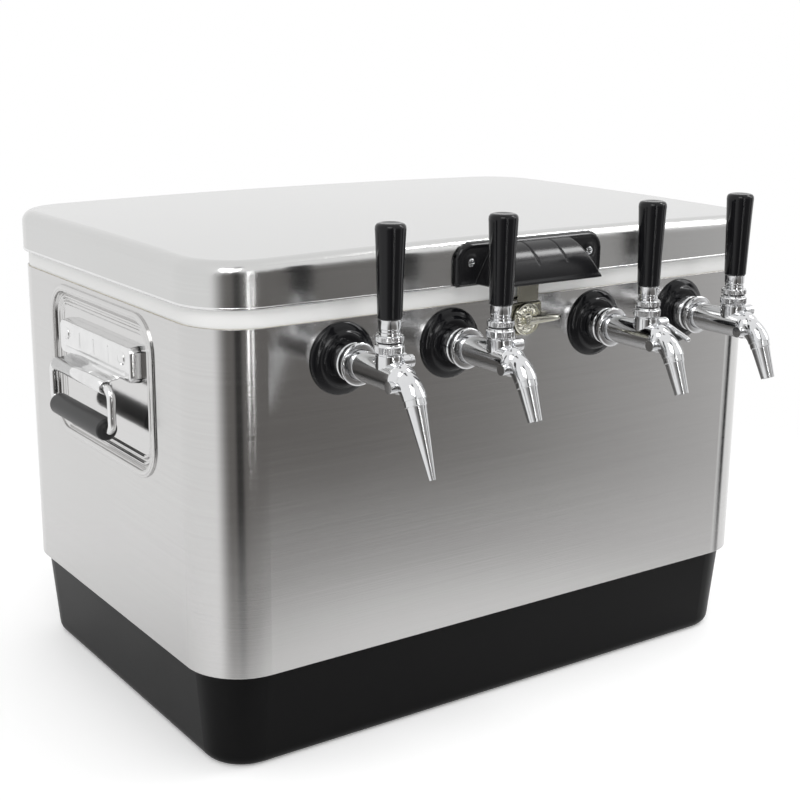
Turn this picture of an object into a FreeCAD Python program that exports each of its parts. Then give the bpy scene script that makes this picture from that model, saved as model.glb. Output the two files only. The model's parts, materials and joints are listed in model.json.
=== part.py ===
# Jockey box: a steel cooler with four draught taps on its front and four cooling coils inside.
# Millimetres. The origin is the centre of the base's underside, +X runs to the right along the
# front, the front faces -Y and +Z is up.

import FreeCAD, Part
import math
import os
import Sketcher

doc = FreeCAD.newDocument("JockeyBox")
sheet = doc.addObject("Spreadsheet::Sheet", "Sizes")
Vector = FreeCAD.Vector
Rotation = FreeCAD.Rotation


class Size:
    """A number together with the spreadsheet formula that gives it."""

    def __init__(self, value, formula):
        self.value = value
        self.formula = formula

    def join(self, other, sign, value, swap=False):
        text = other.formula if isinstance(other, Size) else str(other)
        first, second = (text, self.formula) if swap else (self.formula, text)
        return Size(value, f"({first} {sign} {second})")

    def __add__(self, other):
        return self.join(other, "+", self.value + number(other))

    def __radd__(self, other):
        return self.join(other, "+", number(other) + self.value, swap=True)

    def __sub__(self, other):
        return self.join(other, "-", self.value - number(other))

    def __rsub__(self, other):
        return self.join(other, "-", number(other) - self.value, swap=True)

    def __mul__(self, other):
        return self.join(other, "*", self.value * number(other))

    def __rmul__(self, other):
        return self.join(other, "*", number(other) * self.value, swap=True)

    def __truediv__(self, other):
        return self.join(other, "/", self.value / number(other))

    def __neg__(self):
        return Size(-self.value, f"(-{self.formula})")


def number(size):
    return size.value if isinstance(size, Size) else float(size)


def sin_of(angle):
    return Size(math.sin(math.radians(angle.value)), f"sin({angle.formula} * 1 deg)")


def slope_of(across, along):
    """The angle, in degrees, of a slope that runs across by one size over another."""
    angle = math.degrees(math.atan(across.value / along.value))
    return Size(angle, f"atan({across.formula} / {along.formula})")


def cos_of(angle):
    return Size(math.cos(math.radians(angle.value)), f"cos({angle.formula} * 1 deg)")


def size(alias, value, meaning):
    """Write one driving dimension into the sheet and hand it back."""
    row = len(sheet_rows) + 1
    sheet_rows.append(alias)
    sheet.set(f"A{row}", alias)
    sheet.set(f"B{row}", str(value))
    sheet.setAlias(f"B{row}", alias)
    sheet.set(f"C{row}", meaning)
    return Size(float(value), f"Sizes.{alias}")


sheet_rows = []

# Cooler body
body_length = size("body_length", 600, "steel body, left to right")
body_depth = size("body_depth", 404, "steel body, front to back")
body_corner = size("body_corner", 50, "radius of the upright corners")
shell_sheet = size("shell_sheet", 1, "steel sheet")
seam_height = size("seam_height", 86.5, "where the steel meets the base")
shell_top = size("shell_top", 370.5, "top edge of the steel body")
shell_flange = size("shell_flange", 14, "turned-in lower edge of the shell")
base_set_in = size("base_set_in", 6, "base behind the steel, at the seam")
base_draft = size("base_draft", 7.5, "further set-in at the underside")
base_wall = size("base_wall", 4.5, "moulded base wall")
base_edge = size("base_edge", 11, "rounding of the lower edge")
base_rim = size("base_rim", 10, "inward rim that carries the shell")
rim_height = size("rim_height", 14, "white band between shell and lid")
rim_set_in = size("rim_set_in", 1.5, "white band behind the steel")
liner_wall = size("liner_wall", 3, "moulded tub wall")
liner_gap_x = size("liner_gap_x", 32, "insulation at the ends")
liner_gap_y = size("liner_gap_y", 32, "insulation at front and back")
liner_corner = size("liner_corner", 35, "tub corner, inside")
liner_floor = size("liner_floor", 45, "underside of the tub")
seat_gap = size("seat_gap", 0.3, "gap between parts that lie against each other")

# Lid
lid_overhang = size("lid_overhang", 2.8, "lid past the body all round")
lid_gap = size("lid_gap", 0.8, "gap between rim and lid")
lid_apex = size("lid_apex", 426, "highest point of the lid")
lid_crown = size("lid_crown", 13000, "radius of the lid's slight dome")
lid_edge = size("lid_edge", 11, "rounding of the lid's top edge")
lid_plug = size("lid_plug", 10, "depth of the lid lining in the tub")
plug_gap = size("plug_gap", 4, "plug to tub wall")
lid_pan = size("lid_pan", 3, "lid lining sheet")
gasket_width = size("gasket_width", 8, "seal width")
gasket_height = size("gasket_height", 2.5, "seal height")
gasket_margin = size("gasket_margin", 8, "seal outside the tub opening")

# Hinges
hinge_offset = size("hinge_offset", 200, "hinge centre to the middle")
hinge_width = size("hinge_width", 60, "leaf width")
hinge_knuckle = size("hinge_knuckle", 5, "knuckle radius")
hinge_pin = size("hinge_pin", 2.5, "pin radius")
hinge_sheet = size("hinge_sheet", 1.8, "leaf thickness")
hinge_leaf = size("hinge_leaf", 26, "leaf height")
hinge_middle = size("hinge_middle", 28, "length of the lid's knuckle")
screw_spread = size("screw_spread", 18, "hinge screws to the leaf's middle")
body_screw_drop = size("body_screw_drop", 23, "body hinge screws below the pin")
lid_screw_rise = size("lid_screw_rise", 20.6, "lid hinge screws above the lid's edge")
running_gap = size("running_gap", 0.05, "radial clearance of a turning or sliding fit")
screw_shank = size("screw_shank", 2, "wood screw radius")
screw_head = size("screw_head", 3.8, "screw head radius")
screw_depth = size("screw_depth", 12, "screw length")
head_height = size("head_height", 1.8, "screw head height")

# Taps
tap_inner = size("tap_inner", 79, "inner taps to the middle")
tap_outer = size("tap_outer", 184, "outer taps to the middle")
tap_height = size("tap_height", 339, "shank axis")
flange_radius = size("flange_radius", 29.5, "black wall flange")
flange_height = size("flange_height", 7.5, "flange depth")
shank_radius = size("shank_radius", 11.1, "seven-eighths inch shank thread")
shank_bore = size("shank_bore", 4, "beer passage and coil tube radius")
bore_step = size("bore_step", 0.8, "shank bore inside the coil tube's seat")
shank_reach = size("shank_reach", 34, "shank past the tub wall")
shank_front = size("shank_front", 19.7, "shank past the shell")
hole_gap = size("hole_gap", 0.5, "shank hole clearance")
nut_radius = size("nut_radius", 15.5, "coupling nut")
nut_rim = size("nut_rim", 17, "coupling nut front rim")
nut_length = size("nut_length", 19, "coupling nut length")
rim_length = size("rim_length", 3, "coupling nut front rim, length")
rim_slope = size("rim_slope", 0.5, "slope behind the front rim")
head_step = size("head_step", 1.6, "shank head past its thread")
head_length = size("head_length", 3.4, "shank head length")
collar_step = size("collar_step", 0.8, "faucet collar past its barrel")
locknut_flat = size("locknut_flat", 16, "half the locknut's width across flats")
locknut_height = size("locknut_height", 8, "locknut height")
barrel_radius = size("barrel_radius", 12, "faucet barrel")
column_reach = size("column_reach", 66, "lever column in front of the shell")
column_radius = size("column_radius", 10.8, "lever column")
column_height = size("column_height", 16, "column above the barrel axis")
chamber_radius = size("chamber_radius", 8.5, "bore the shuttle slides in")
chamber_reach = size("chamber_reach", 82.3, "front end of the bore from the shell")
elbow_reach = size("elbow_reach", 81, "start of the elbow from the shell")
elbow_bend = size("elbow_bend", 19.6, "bend radius of the elbow")
elbow_radius = size("elbow_radius", 9.2, "elbow tube radius")
elbow_bore = size("elbow_bore", 5, "beer passage in the elbow")
spout_tilt = size("spout_tilt", 23, "spout forward of straight down, degrees")
spout_length = size("spout_length", 32, "standard spout")
spout_tip = size("spout_tip", 5.8, "standard spout tip radius")
stout_length = size("stout_length", 60, "long stout spout")
stout_tip = size("stout_tip", 2.6, "long spout tip radius")
spout_collar = size("spout_collar", 8.6, "spout collar radius")
collar_height = size("collar_height", 4.5, "spout collar height")
spout_wall = size("spout_wall", 1.3, "spout wall")
ball_height = size("ball_height", 18, "lever ball above the barrel axis")
ball_radius = size("ball_radius", 6.5, "lever pivot ball")
arm_radius = size("arm_radius", 2.2, "lever arm below the ball")
arm_tip = size("arm_tip", 3, "ball end in the shuttle")
slot_gap = size("slot_gap", 0.6, "shuttle slot to ball end")
slot_lean = size("slot_lean", 3.2, "upper slot, further forward for the leaning arm")
shuttle_rear = size("shuttle_rear", 11.5, "shuttle behind the lever")
flat_depth = size("flat_depth", 1.5, "beer flats on the shuttle's sides")
flat_land = size("flat_land", 5, "round land in front of the flats")
stem_radius = size("stem_radius", 3, "lever neck")
bonnet_radius = size("bonnet_radius", 11.5, "knurled bonnet")
bonnet_height = size("bonnet_height", 9, "knurled bonnet")
bonnet_edge = size("bonnet_edge", 1, "bevel of the bonnet's top edge")
bonnet_lip = size("bonnet_lip", 2.9, "lip above the ball centre")
mouth_radius = size("mouth_radius", 9.2, "bonnet mouth")
dome_radius = size("dome_radius", 13.4, "hollow under the lever collar")
lever_collar = size("lever_collar", 10.5, "knurled lever collar")
collar_top = size("collar_top", 12.5, "lever collar top above the ball")
neck_top = size("neck_top", 15, "lever shoulder above the ball")
ball_seat = size("ball_seat", 5.7, "ledge under the ball, radius")
seat_height = size("seat_height", 1.1, "ledge under the ball, height")
ball_rest = size("ball_rest", 4.4, "ledge below the ball's centre")
ferrule_height = size("ferrule_height", 10, "chrome ferrule")
ferrule_radius = size("ferrule_radius", 8.3, "ferrule bottom radius")
ferrule_top = size("ferrule_top", 9, "ferrule top radius")
handle_height = size("handle_height", 71, "black handle")
handle_bottom = size("handle_bottom", 9.35, "handle radius, bottom")
handle_top = size("handle_top", 11.8, "handle radius, top")
handle_edge = size("handle_edge", 2.5, "rounding of the handle's top")
thread_radius = size("thread_radius", 4.8, "handle thread")
thread_length = size("thread_length", 26, "handle thread above the collar")
control_reach = size("control_reach", 72, "flow lever axis in front of the shell")
control_height = size("control_height", 10.5, "flow lever axis above the barrel")
control_boss = size("control_boss", 5, "flow lever boss radius")
control_face = size("control_face", 12.5, "boss face from the tap's middle")
control_pin = size("control_pin", 2.5, "flow lever spindle radius")
pin_wall = size("pin_wall", 9, "metal between the tap's middle and the spindle")
control_length = size("control_length", 30, "flow lever length")
control_rod = size("control_rod", 2.1, "flow lever rod radius")
plug_reach = size("plug_reach", 85, "side plug in front of the shell")
plug_drop = size("plug_drop", 4, "side plug below the barrel axis")
plug_radius = size("plug_radius", 4.7, "side plug radius")

# Coils
coil_pitch_x = size("coil_pitch_x", 126, "coil to coil")
coil_radius = size("coil_radius", 54, "centre line of a coil")
coil_rise = size("coil_rise", 12, "climb of one turn")
coil_back = size("coil_back", 34, "coil centres behind the middle")
coil_riser = size("coil_riser", 108, "risers behind the middle")
coil_bend = size("coil_bend", 22, "bend radius of the risers")
coil_turns = size("coil_turns", 15, "turns in a coil")
inlet_height = size("inlet_height", 300, "rear inlets")
inlet_reach = size("inlet_reach", 25, "inlet past the tub wall")
inlet_thread = size("inlet_thread", 5.56, "seven-sixteenths inch flare thread")
inlet_length = size("inlet_length", 12, "inlet thread length")
inlet_body = size("inlet_body", 8, "inlet barrel radius")
inlet_flange = size("inlet_flange", 13, "inlet flange radius")
tail_nut = size("tail_nut", 8, "nut on a coil end, radius")
tail_length = size("tail_length", 12, "nut on a coil end, length")

# End handles
panel_length = size("panel_length", 200, "sunk panel in each end")
panel_low = size("panel_low", 234, "panel bottom")
panel_high = size("panel_high", 360, "panel top")
panel_corner = size("panel_corner", 25, "panel corner radius")
panel_depth = size("panel_depth", 4, "panel depth")
bead_width = size("bead_width", 6, "raised border")
bead_height = size("bead_height", 1.5, "raised border")
bracket_length = size("bracket_length", 150, "bracket plate")
bracket_low = size("bracket_low", 306, "bracket plate bottom")
bracket_high = size("bracket_high", 337, "bracket plate top")
bracket_sheet = size("bracket_sheet", 2, "bracket plate thickness")
bracket_face = size("bracket_face", 6, "bracket plate outside the end")
bail_axis = size("bail_axis", 18, "bail pivot outside the end")
bail_height = size("bail_height", 301, "bail pivot height")
bail_bar = size("bail_bar", 3.5, "bail bar radius")
bail_span = size("bail_span", 62, "bail arm to the middle")
bail_drop = size("bail_drop", 36, "grip below the pivot")
bail_bend = size("bail_bend", 9, "bend radius of the bail")
barrel_wall = size("barrel_wall", 2.5, "wall of the bracket's barrels")
barrel_length = size("barrel_length", 22, "bracket barrel length")
grip_radius = size("grip_radius", 9.5, "black grip")
grip_length = size("grip_length", 104, "black grip")
rivet_head = size("rivet_head", 6, "rivet head radius")
rivet_offset = size("rivet_offset", 58, "rivets to the middle")
rivet_rise = size("rivet_rise", 19.5, "rivets above the bracket's lower edge")

# Lid handle and latch
grab_length = size("grab_length", 156, "lid handle back plate")
grab_low = size("grab_low", 386, "back plate bottom")
grab_high = size("grab_high", 421, "back plate top")
grab_sheet = size("grab_sheet", 4, "back plate thickness")
grab_corner = size("grab_corner", 14, "upper corners")
grab_reach = size("grab_reach", 30, "hood in front of the lid")
grab_hood = size("grab_hood", 96, "hood length")
grab_wall = size("grab_wall", 4, "hood wall")
grab_screw = size("grab_screw", 64, "lid handle screws to the middle")
grab_screw_rise = size("grab_screw_rise", 19, "lid handle screws above its bottom")
hood_drop = size("hood_drop", 6, "hood below the back plate")
hood_back = size("hood_back", 9, "hood's root, less than the back plate's height")
hood_front = size("hood_front", 15, "hood's front, less than the back plate's height")
strike_rise = size("strike_rise", 8, "keeper tab up behind the handle")
latch_height = size("latch_height", 351, "turn latch axis")
latch_width = size("latch_width", 36, "latch base plate")
latch_sheet = size("latch_sheet", 2, "latch base plate thickness")
latch_disc = size("latch_disc", 14.3, "latch disc radius")
disc_height = size("disc_height", 3, "latch disc thickness")
latch_hub = size("latch_hub", 5, "latch spindle radius")
wing_length = size("wing_length", 34, "thumb-turn past its axis")
wing_height = size("wing_height", 7, "thumb-turn bar height")
wing_reach = size("wing_reach", 8, "thumb-turn in front of the disc")
strike_width = size("strike_width", 22, "keeper tab on the lid")
strike_sheet = size("strike_sheet", 1.5, "keeper tab thickness")
strike_gap = size("strike_gap", 1.2, "keeper tab above the latch disc")

# Drain
drain_height = size("drain_height", 60, "drain axis")
drain_radius = size("drain_radius", 9, "drain pipe radius")
drain_bore = size("drain_bore", 6, "drain bore")
drain_flange = size("drain_flange", 17, "drain flange radius")
drain_reach = size("drain_reach", 16, "threaded spigot past the base")
cap_radius = size("cap_radius", 14, "drain cap radius")
cap_wall = size("cap_wall", 2.5, "drain cap wall")

doc.recompute()

rim_top = shell_top + rim_height
lid_bottom = rim_top + lid_gap
front_face = -body_depth / 2
back_face = body_depth / 2
end_face = body_length / 2
lid_length = body_length + 2 * lid_overhang
lid_depth = body_depth + 2 * lid_overhang
lid_corner = body_corner + lid_overhang
lid_front = -lid_depth / 2
lid_back = lid_depth / 2
tub_length = body_length - 2 * shell_sheet - 2 * liner_gap_x - 2 * liner_wall
tub_depth = body_depth - 2 * shell_sheet - 2 * liner_gap_y - 2 * liner_wall
tub_floor = liner_floor + liner_wall
tub_front = -tub_depth / 2
tub_back = tub_depth / 2
tap_places = [-tap_outer, -tap_inner, tap_inner, tap_outer]
hinge_y = back_face + lid_overhang + hinge_knuckle + seat_gap
hinge_z = lid_bottom + lid_gap
hinge_places = [-hinge_offset, hinge_offset]
body_screws = [(x + side * screw_spread, hinge_z - body_screw_drop)
               for x in hinge_places for side in (-1, 1)]
lid_screws = [(x + side * screw_spread, lid_bottom + lid_screw_rise)
              for x in hinge_places for side in (-1, 1)]
grab_screw_height = grab_low + grab_screw_rise
hood_low = grab_low - hood_drop
strike_top = grab_low + strike_rise
barrel_out = bail_span - bail_bend - seat_gap
rivet_height = bracket_low + rivet_rise
rivet_shank = rivet_head / 2
drain_face = end_face - base_set_in - base_draft * (1 - (drain_height - drain_flange) / seam_height)
shank_end = tub_front + shank_reach
shank_face = front_face - shank_front
column_y = front_face - column_reach
ball_z = tap_height + ball_height
shuttle_length = chamber_reach - column_reach + shuttle_rear
control_pin_length = control_face - pin_wall
CONTROL_BACK = -72
CONTROL_FORWARD = 108
coil_places = [-1.5 * coil_pitch_x, -0.5 * coil_pitch_x, 0.5 * coil_pitch_x, 1.5 * coil_pitch_x]

UP = Rotation(Vector(1, 0, 0), 0)
FRONT = Rotation(Vector(1, 0, 0), 90)
BACK = Rotation(Vector(1, 0, 0), -90)
RIGHT = Rotation(Vector(0, 1, 0), 90)
LEFT = Rotation(Vector(0, 1, 0), -90)

subparts = []


def bind(thing, field, size_or_number, unit=""):
    """Set a property and, where its size comes from the sheet, tie it to the sheet."""
    if isinstance(size_or_number, Size):
        thing.setExpression(field, size_or_number.formula + unit)
    elif "." in field:
        thing.setExpression(field, str(float(size_or_number)) + unit)
    else:
        setattr(thing, field, size_or_number)


def place(thing, base, turn=UP):
    thing.Placement = FreeCAD.Placement(Vector(0, 0, 0), turn)
    for axis, value in zip("xyz", base):
        bind(thing, f"Placement.Base.{axis}", value)
    return thing


def fresh(kind, hint="Piece"):
    return doc.addObject(kind, hint)


def box(low, high):
    """An upright block between two corners."""
    block = fresh("Part::Box", "Block")
    for field, a, b in zip(("Length", "Width", "Height"), low, high):
        bind(block, field, b - a)
    return place(block, low)


def rod(radius, length, base, turn=UP):
    """A round rod that starts at base and runs the way that turn points."""
    piece = fresh("Part::Cylinder", "Rod")
    bind(piece, "Radius", radius)
    bind(piece, "Height", length)
    return place(piece, base, turn)


def cone(first, second, length, base, turn=UP):
    piece = fresh("Part::Cone", "Cone")
    bind(piece, "Radius1", first)
    bind(piece, "Radius2", second)
    bind(piece, "Height", length)
    return place(piece, base, turn)


def ball(radius, base):
    piece = fresh("Part::Sphere", "Ball")
    bind(piece, "Radius", radius)
    return place(piece, base)


def hexagon(flat, height, base, turn=UP):
    """A six-sided nut blank; flat is half its width across flats."""
    piece = fresh("Part::Prism", "Hexagon")
    piece.Polygon = 6
    bind(piece, "Circumradius", flat / math.cos(math.pi / 6))
    bind(piece, "Height", height)
    return place(piece, base, turn)


def fuse(*pieces):
    joined = fresh("Part::MultiFuse", "Joined")
    joined.Shapes = list(pieces)
    joined.Refine = True
    return joined


def cut(solid, *tools):
    """The solid less every tool."""
    for tool in tools:
        left = fresh("Part::Cut", "Left")
        left.Base = solid
        left.Tool = tool
        left.Refine = True
        solid = left
    return solid


def common(first, second):
    shared = fresh("Part::Common", "Shared")
    shared.Base = first
    shared.Tool = second
    return shared


def group(*pieces):
    """Separate solids that share one node."""
    together = fresh("Part::Compound", "Group")
    together.Links = list(pieces)
    return together


def rounded(solid, radius, wanted):
    """Round each edge that wanted picks by its middle point and its box."""
    doc.recompute()
    blend = fresh("Part::Fillet", "Rounded")
    blend.Base = solid
    edges = []
    for count, edge in enumerate(solid.Shape.Edges, 1):
        if wanted(edge.BoundBox):
            edges.append((count, number(radius), number(radius)))
    blend.Edges = edges
    return blend


def subpart(label, thing):
    """Name a finished piece; the label is also its file's name."""
    thing.Label = label
    subparts.append(thing)
    return thing


def origin_plane(body, role):
    for feature in body.Origin.OriginFeatures:
        if feature.Role == role:
            return feature


def sketch_on(body, role, offset):
    """A sketch on one of the body's own planes, moved along its normal."""
    sketch = body.newObject("Sketcher::SketchObject", "Outline")
    sketch.AttachmentSupport = (origin_plane(body, role), [""])
    sketch.MapMode = "FlatFace"
    bind(sketch, "AttachmentOffset.Base.z", offset)
    return sketch


def pin_point(sketch, geometry, end, across, up):
    """Tie one point of a sketch to its two coordinates."""
    for kind, value, axis in (("DistanceX", across, -2), ("DistanceY", up, -1)):
        if not isinstance(value, Size) and value == 0:
            sketch.addConstraint(Sketcher.Constraint("PointOnObject", geometry, end, axis))
            continue
        rule = Sketcher.Constraint(kind, -1, 1, geometry, end, number(value))
        index = sketch.addConstraint(rule)
        if isinstance(value, Size):
            sketch.setExpression(f"Constraints[{index}]", value.formula)


def draw_loop(sketch, points):
    """A closed outline of straight lines through points tied to the sheet."""
    spots = [Vector(number(across), number(up), 0) for across, up in points]
    lines = [Part.LineSegment(a, b) for a, b in zip(spots, spots[1:] + spots[:1])]
    sketch.addGeometry(lines, False)
    count = len(spots)
    for index, (across, up) in enumerate(points):
        rule = Sketcher.Constraint("Coincident", index, 1, (index - 1) % count, 2)
        sketch.addConstraint(rule)
        pin_point(sketch, index, 1, across, up)


def draw_rounded_rectangle(sketch, length, depth, corner, middle=(0, 0)):
    """A rounded rectangle about a middle point, its corner centres tied to the sheet."""
    half_x, half_y = length / 2, depth / 2
    corners = [(1, -1, -90), (1, 1, 0), (-1, 1, 90), (-1, -1, 180)]
    centres = []
    for side_x, side_y, start in corners:
        across = middle[0] + side_x * (half_x - corner)
        up = middle[1] + side_y * (half_y - corner)
        centres.append((across, up, start))
    flat = [Vector(number(a), number(b), 0) for a, b, _ in centres]
    radius = number(corner)
    arcs = []
    for centre, (_, _, start) in zip(flat, centres):
        circle = Part.Circle(centre, Vector(0, 0, 1), radius)
        arcs.append(Part.ArcOfCircle(circle, math.radians(start), math.radians(start + 90)))
    lines = []
    for index in range(4):
        following = arcs[(index + 1) % 4]
        lines.append(Part.LineSegment(arcs[index].EndPoint, following.StartPoint))
    sketch.addGeometry(arcs + lines, False)
    for index, (across, up, _) in enumerate(centres):
        pin_point(sketch, index, 3, across, up)
        rule = sketch.addConstraint(Sketcher.Constraint("Radius", index, radius))
        if isinstance(corner, Size):
            sketch.setExpression(f"Constraints[{rule}]", corner.formula)
    for index in range(4):
        following = (index + 1) % 4
        sketch.addConstraint(Sketcher.Constraint("Tangent", index, 2, 4 + index, 1))
        sketch.addConstraint(Sketcher.Constraint("Tangent", 4 + index, 2, following, 1))


def slab(layers, role="XY_Plane"):
    """Stacked rounded rectangles: each layer adds or takes away between two levels."""
    body = fresh("PartDesign::Body", "Slab")
    for kind, length, depth, corner, low, high, middle in layers:
        sketch = sketch_on(body, role, low)
        draw_rounded_rectangle(sketch, length, depth, corner, middle)
        if kind == "add":
            feature = body.newObject("PartDesign::Pad", "Layer")
        else:
            feature = body.newObject("PartDesign::Pocket", "Hollow")
            feature.Reversed = True
        feature.Profile = sketch
        bind(feature, "Length", high - low)
        sketch.Visibility = False
    return body


def add(length, depth, corner, low, high, middle=(0, 0)):
    return ("add", length, depth, corner, low, high, middle)


def take(length, depth, corner, low, high, middle=(0, 0)):
    return ("take", length, depth, corner, low, high, middle)


def lathe(outline, base, turn=UP):
    """A turned piece: an outline of radius and height pairs, spun about its own axis."""
    body = fresh("PartDesign::Body", "Turned")
    sketch = sketch_on(body, "XZ_Plane", 0)
    draw_loop(sketch, outline)
    spin = body.newObject("PartDesign::Revolution", "Spin")
    spin.Profile = sketch
    spin.ReferenceAxis = (sketch, ["V_Axis"])
    spin.Angle = 360
    return place(body, base, turn)


def taper(first, second, role="XY_Plane"):
    """A loft between two rounded rectangles, each a length, depth, corner, level and middle."""
    body = fresh("PartDesign::Body", "Tapered")
    outlines = []
    for length, depth, corner, level, middle in (first, second):
        sketch = sketch_on(body, role, level)
        draw_rounded_rectangle(sketch, length, depth, corner, middle)
        sketch.Visibility = False
        outlines.append(sketch)
    loft = body.newObject("PartDesign::AdditiveLoft", "Loft")
    loft.Profile = outlines[0]
    loft.Sections = [outlines[1]]
    loft.Ruled = True
    return body


def arc_between(start, heading, end):
    """The arc that leaves start along heading and reaches end, or a line where it is straight."""
    chord = end - start
    length = chord.Length
    along = chord / length
    aside = heading - along * heading.dot(along)
    if aside.Length < 1e-6:
        return Part.LineSegment(start, end).toShape()
    turn = math.acos(max(-1.0, min(1.0, heading.dot(along))))
    middle = start + chord * 0.5 + aside.normalize() * (length / 2 * math.tan(turn / 2))
    return Part.Arc(start, middle, end).toShape()


def biarc(start, heading, end, leaving):
    """Two tangent arcs from one point and direction to another."""
    chord = end - start
    square = chord.dot(chord)
    spread = 2 * (1 - heading.dot(leaving))
    reach = chord.dot(heading + leaving)
    if spread < 1e-9:
        length = square / (2 * reach)
    else:
        length = (-reach + math.sqrt(reach * reach + spread * square)) / spread
    joint = (start + end + (heading - leaving) * length) * 0.5
    first = arc_between(start, heading, joint)
    last = arc_between(end, leaving * -1, joint)
    return [first, last]


def tube_along(stations, radius):
    """A round bar through stations, each a point and a direction, joined by tangent arcs."""
    edges = []
    for (start, heading), (end, leaving) in zip(stations, stations[1:]):
        across = (end - start).normalize()
        if across.dot(heading) > 1 - 1e-9 and across.dot(leaving) > 1 - 1e-9:
            edges.append(Part.LineSegment(start, end).toShape())
        else:
            edges.extend(biarc(start, heading, end, leaving))
    path = Part.Wire(Part.__sortEdges__(edges))
    point, heading = stations[0]
    ring = Part.Wire(Part.Circle(point, heading, radius).toShape())
    return path, path.makePipeShell([ring], True, False)


def drafted_base(inside, low, high):
    """The base's drafted outline between two levels, set in by a wall."""
    set_in = base_set_in + base_draft * (1 - low / seam_height) + inside
    body = slab([take_away(set_in, low, high)])
    bind(body.Tip, "TaperAngle", slope_of(base_draft, seam_height))
    return body


def base_tub():
    """Black moulded base, drafted towards the floor, with a rim that carries the shell."""
    outside = drafted_base(0, 0 * seam_height, seam_height)
    outside = rounded(outside, base_edge, lambda edge: edge.ZMax < 0.01)
    inside = drafted_base(base_wall, base_wall, seam_height - base_wall)
    rim = base_set_in + base_rim
    mouth = slab([take_away(rim, seam_height - 2 * base_wall, seam_height)])
    seat = rod(drain_flange + seat_gap, base_draft + base_set_in, (drain_face, 0, drain_height), RIGHT)
    behind = (drain_face - drain_flange, 0, drain_height)
    hole = rod(drain_radius + seat_gap, 2 * drain_flange, behind, RIGHT)
    return cut(outside, fuse(inside, mouth), seat, hole)


def take_away(set_in, low, high):
    """A filled layer of the body's outline, set in all round, to cut with or to fill."""
    corner = body_corner - set_in
    return add(body_length - 2 * set_in, body_depth - 2 * set_in, corner, low, high)


def wall_holes():
    """Everything that passes through the walls: shanks, inlets, drain, screws and latch spindle."""
    holes = []
    for x in tap_places:
        start = (x, tub_front + liner_wall, tap_height)
        holes.append(rod(shank_radius + hole_gap, 2 * liner_gap_y, start, FRONT))
    for x in coil_places:
        start = (x, tub_back - liner_wall, inlet_height)
        holes.append(rod(inlet_body + hole_gap, 2 * liner_gap_y, start, BACK))
    start = (tub_length / 2 - liner_wall, 0, drain_height)
    holes.append(rod(drain_radius + seat_gap, 2 * liner_gap_x, start, RIGHT))
    for x, z in body_screws:
        start = (x, back_face + hinge_sheet, z)
        holes.append(rod(screw_shank + running_gap, screw_depth + seat_gap, start, FRONT))
    spindle = (0, front_face - latch_sheet, latch_height)
    holes.append(rod(latch_hub + hole_gap, 3 * latch_hub, spindle, BACK))
    return group(*holes)


def end_panel(side):
    """The sunk panel in one end: what to add to the shell and what to cut from it."""
    height = panel_high - panel_low
    middle = (0, (panel_high + panel_low) / 2)
    floor = panel_depth + shell_sheet
    wide = 2 * bead_width
    lip = 2 * shell_sheet
    if side > 0:
        bead = (end_face - shell_sheet, end_face + bead_height)
        tray = (end_face - floor, end_face)
        void = (end_face - panel_depth, end_face + bead_height)
    else:
        bead = (-end_face - bead_height, -end_face + shell_sheet)
        tray = (-end_face, -end_face + floor)
        void = (-end_face - bead_height, -end_face + panel_depth)
    solid = slab([
        add(panel_length + lip, height + lip, panel_corner + shell_sheet, *tray, middle),
        add(panel_length + wide, height + wide, panel_corner + bead_width, *bead, middle),
    ], "YZ_Plane")
    hollow = slab([add(panel_length, height, panel_corner, *void, middle)], "YZ_Plane")
    clear = 2 * (shell_sheet + seat_gap)
    if side > 0:
        room = (end_face - floor - seat_gap, end_face)
    else:
        room = (-end_face, -end_face + floor + seat_gap)
    corner = panel_corner + shell_sheet + seat_gap
    space = slab([add(panel_length + clear, height + clear, corner, *room, middle)], "YZ_Plane")
    return solid, hollow, space


def steel_shell(panels, holes):
    """Brushed steel wrap with a turned-in lower edge and a sunk panel in each end."""
    sheet_in = shell_sheet
    wrap = slab([
        add(body_length, body_depth, body_corner, seam_height, shell_top),
        take(body_length - 2 * sheet_in, body_depth - 2 * sheet_in, body_corner - sheet_in,
             seam_height + shell_sheet, shell_top),
        take(body_length - 2 * shell_flange, body_depth - 2 * shell_flange,
             body_corner - shell_flange, seam_height, seam_height + shell_sheet),
    ])
    solids = [wrap] + [panel[0] for panel in panels]
    return cut(fuse(*solids), *[panel[1] for panel in panels], holes)


def inner_liner(holes):
    """White moulded tub; its rim lies on the shell and shows as a band under the lid."""
    outside = 2 * liner_wall
    tub = slab([
        add(tub_length + outside, tub_depth + outside, liner_corner + liner_wall,
            liner_floor, rim_top),
        take_away(rim_set_in, shell_top, rim_top),
        take(tub_length, tub_depth, liner_corner, tub_floor, rim_top),
    ])
    return cut(tub, holes)


def insulation_foam(panels, holes):
    """Foam that fills the space between the tub, the shell and the base."""
    low_set_in = base_set_in + base_draft + base_wall + seat_gap
    outside = 2 * liner_wall + 2 * seat_gap
    filling = slab([
        take_away(low_set_in, base_wall, seam_height + shell_sheet),
        take_away(shell_sheet + seat_gap, seam_height + shell_sheet, shell_top),
        take(tub_length + outside, tub_depth + outside, liner_corner + liner_wall + seat_gap,
             liner_floor, shell_top),
    ])
    return cut(filling, *[panel[2] for panel in panels], holes)


def lid_form(set_in, low, edge):
    """The lid's domed outline, set in all round, with a rounded top edge."""
    outline = slab([add(lid_length - 2 * set_in, lid_depth - 2 * set_in, lid_corner - set_in,
                        low, lid_apex + lid_edge)])
    middle = (0, 0, lid_apex - lid_crown)
    dome = place(ball(lid_crown - set_in, middle), middle, FRONT)
    top = number(low) + number(lid_edge)
    return rounded(common(outline, dome), edge, lambda edge_box: edge_box.ZMin > top)


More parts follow.
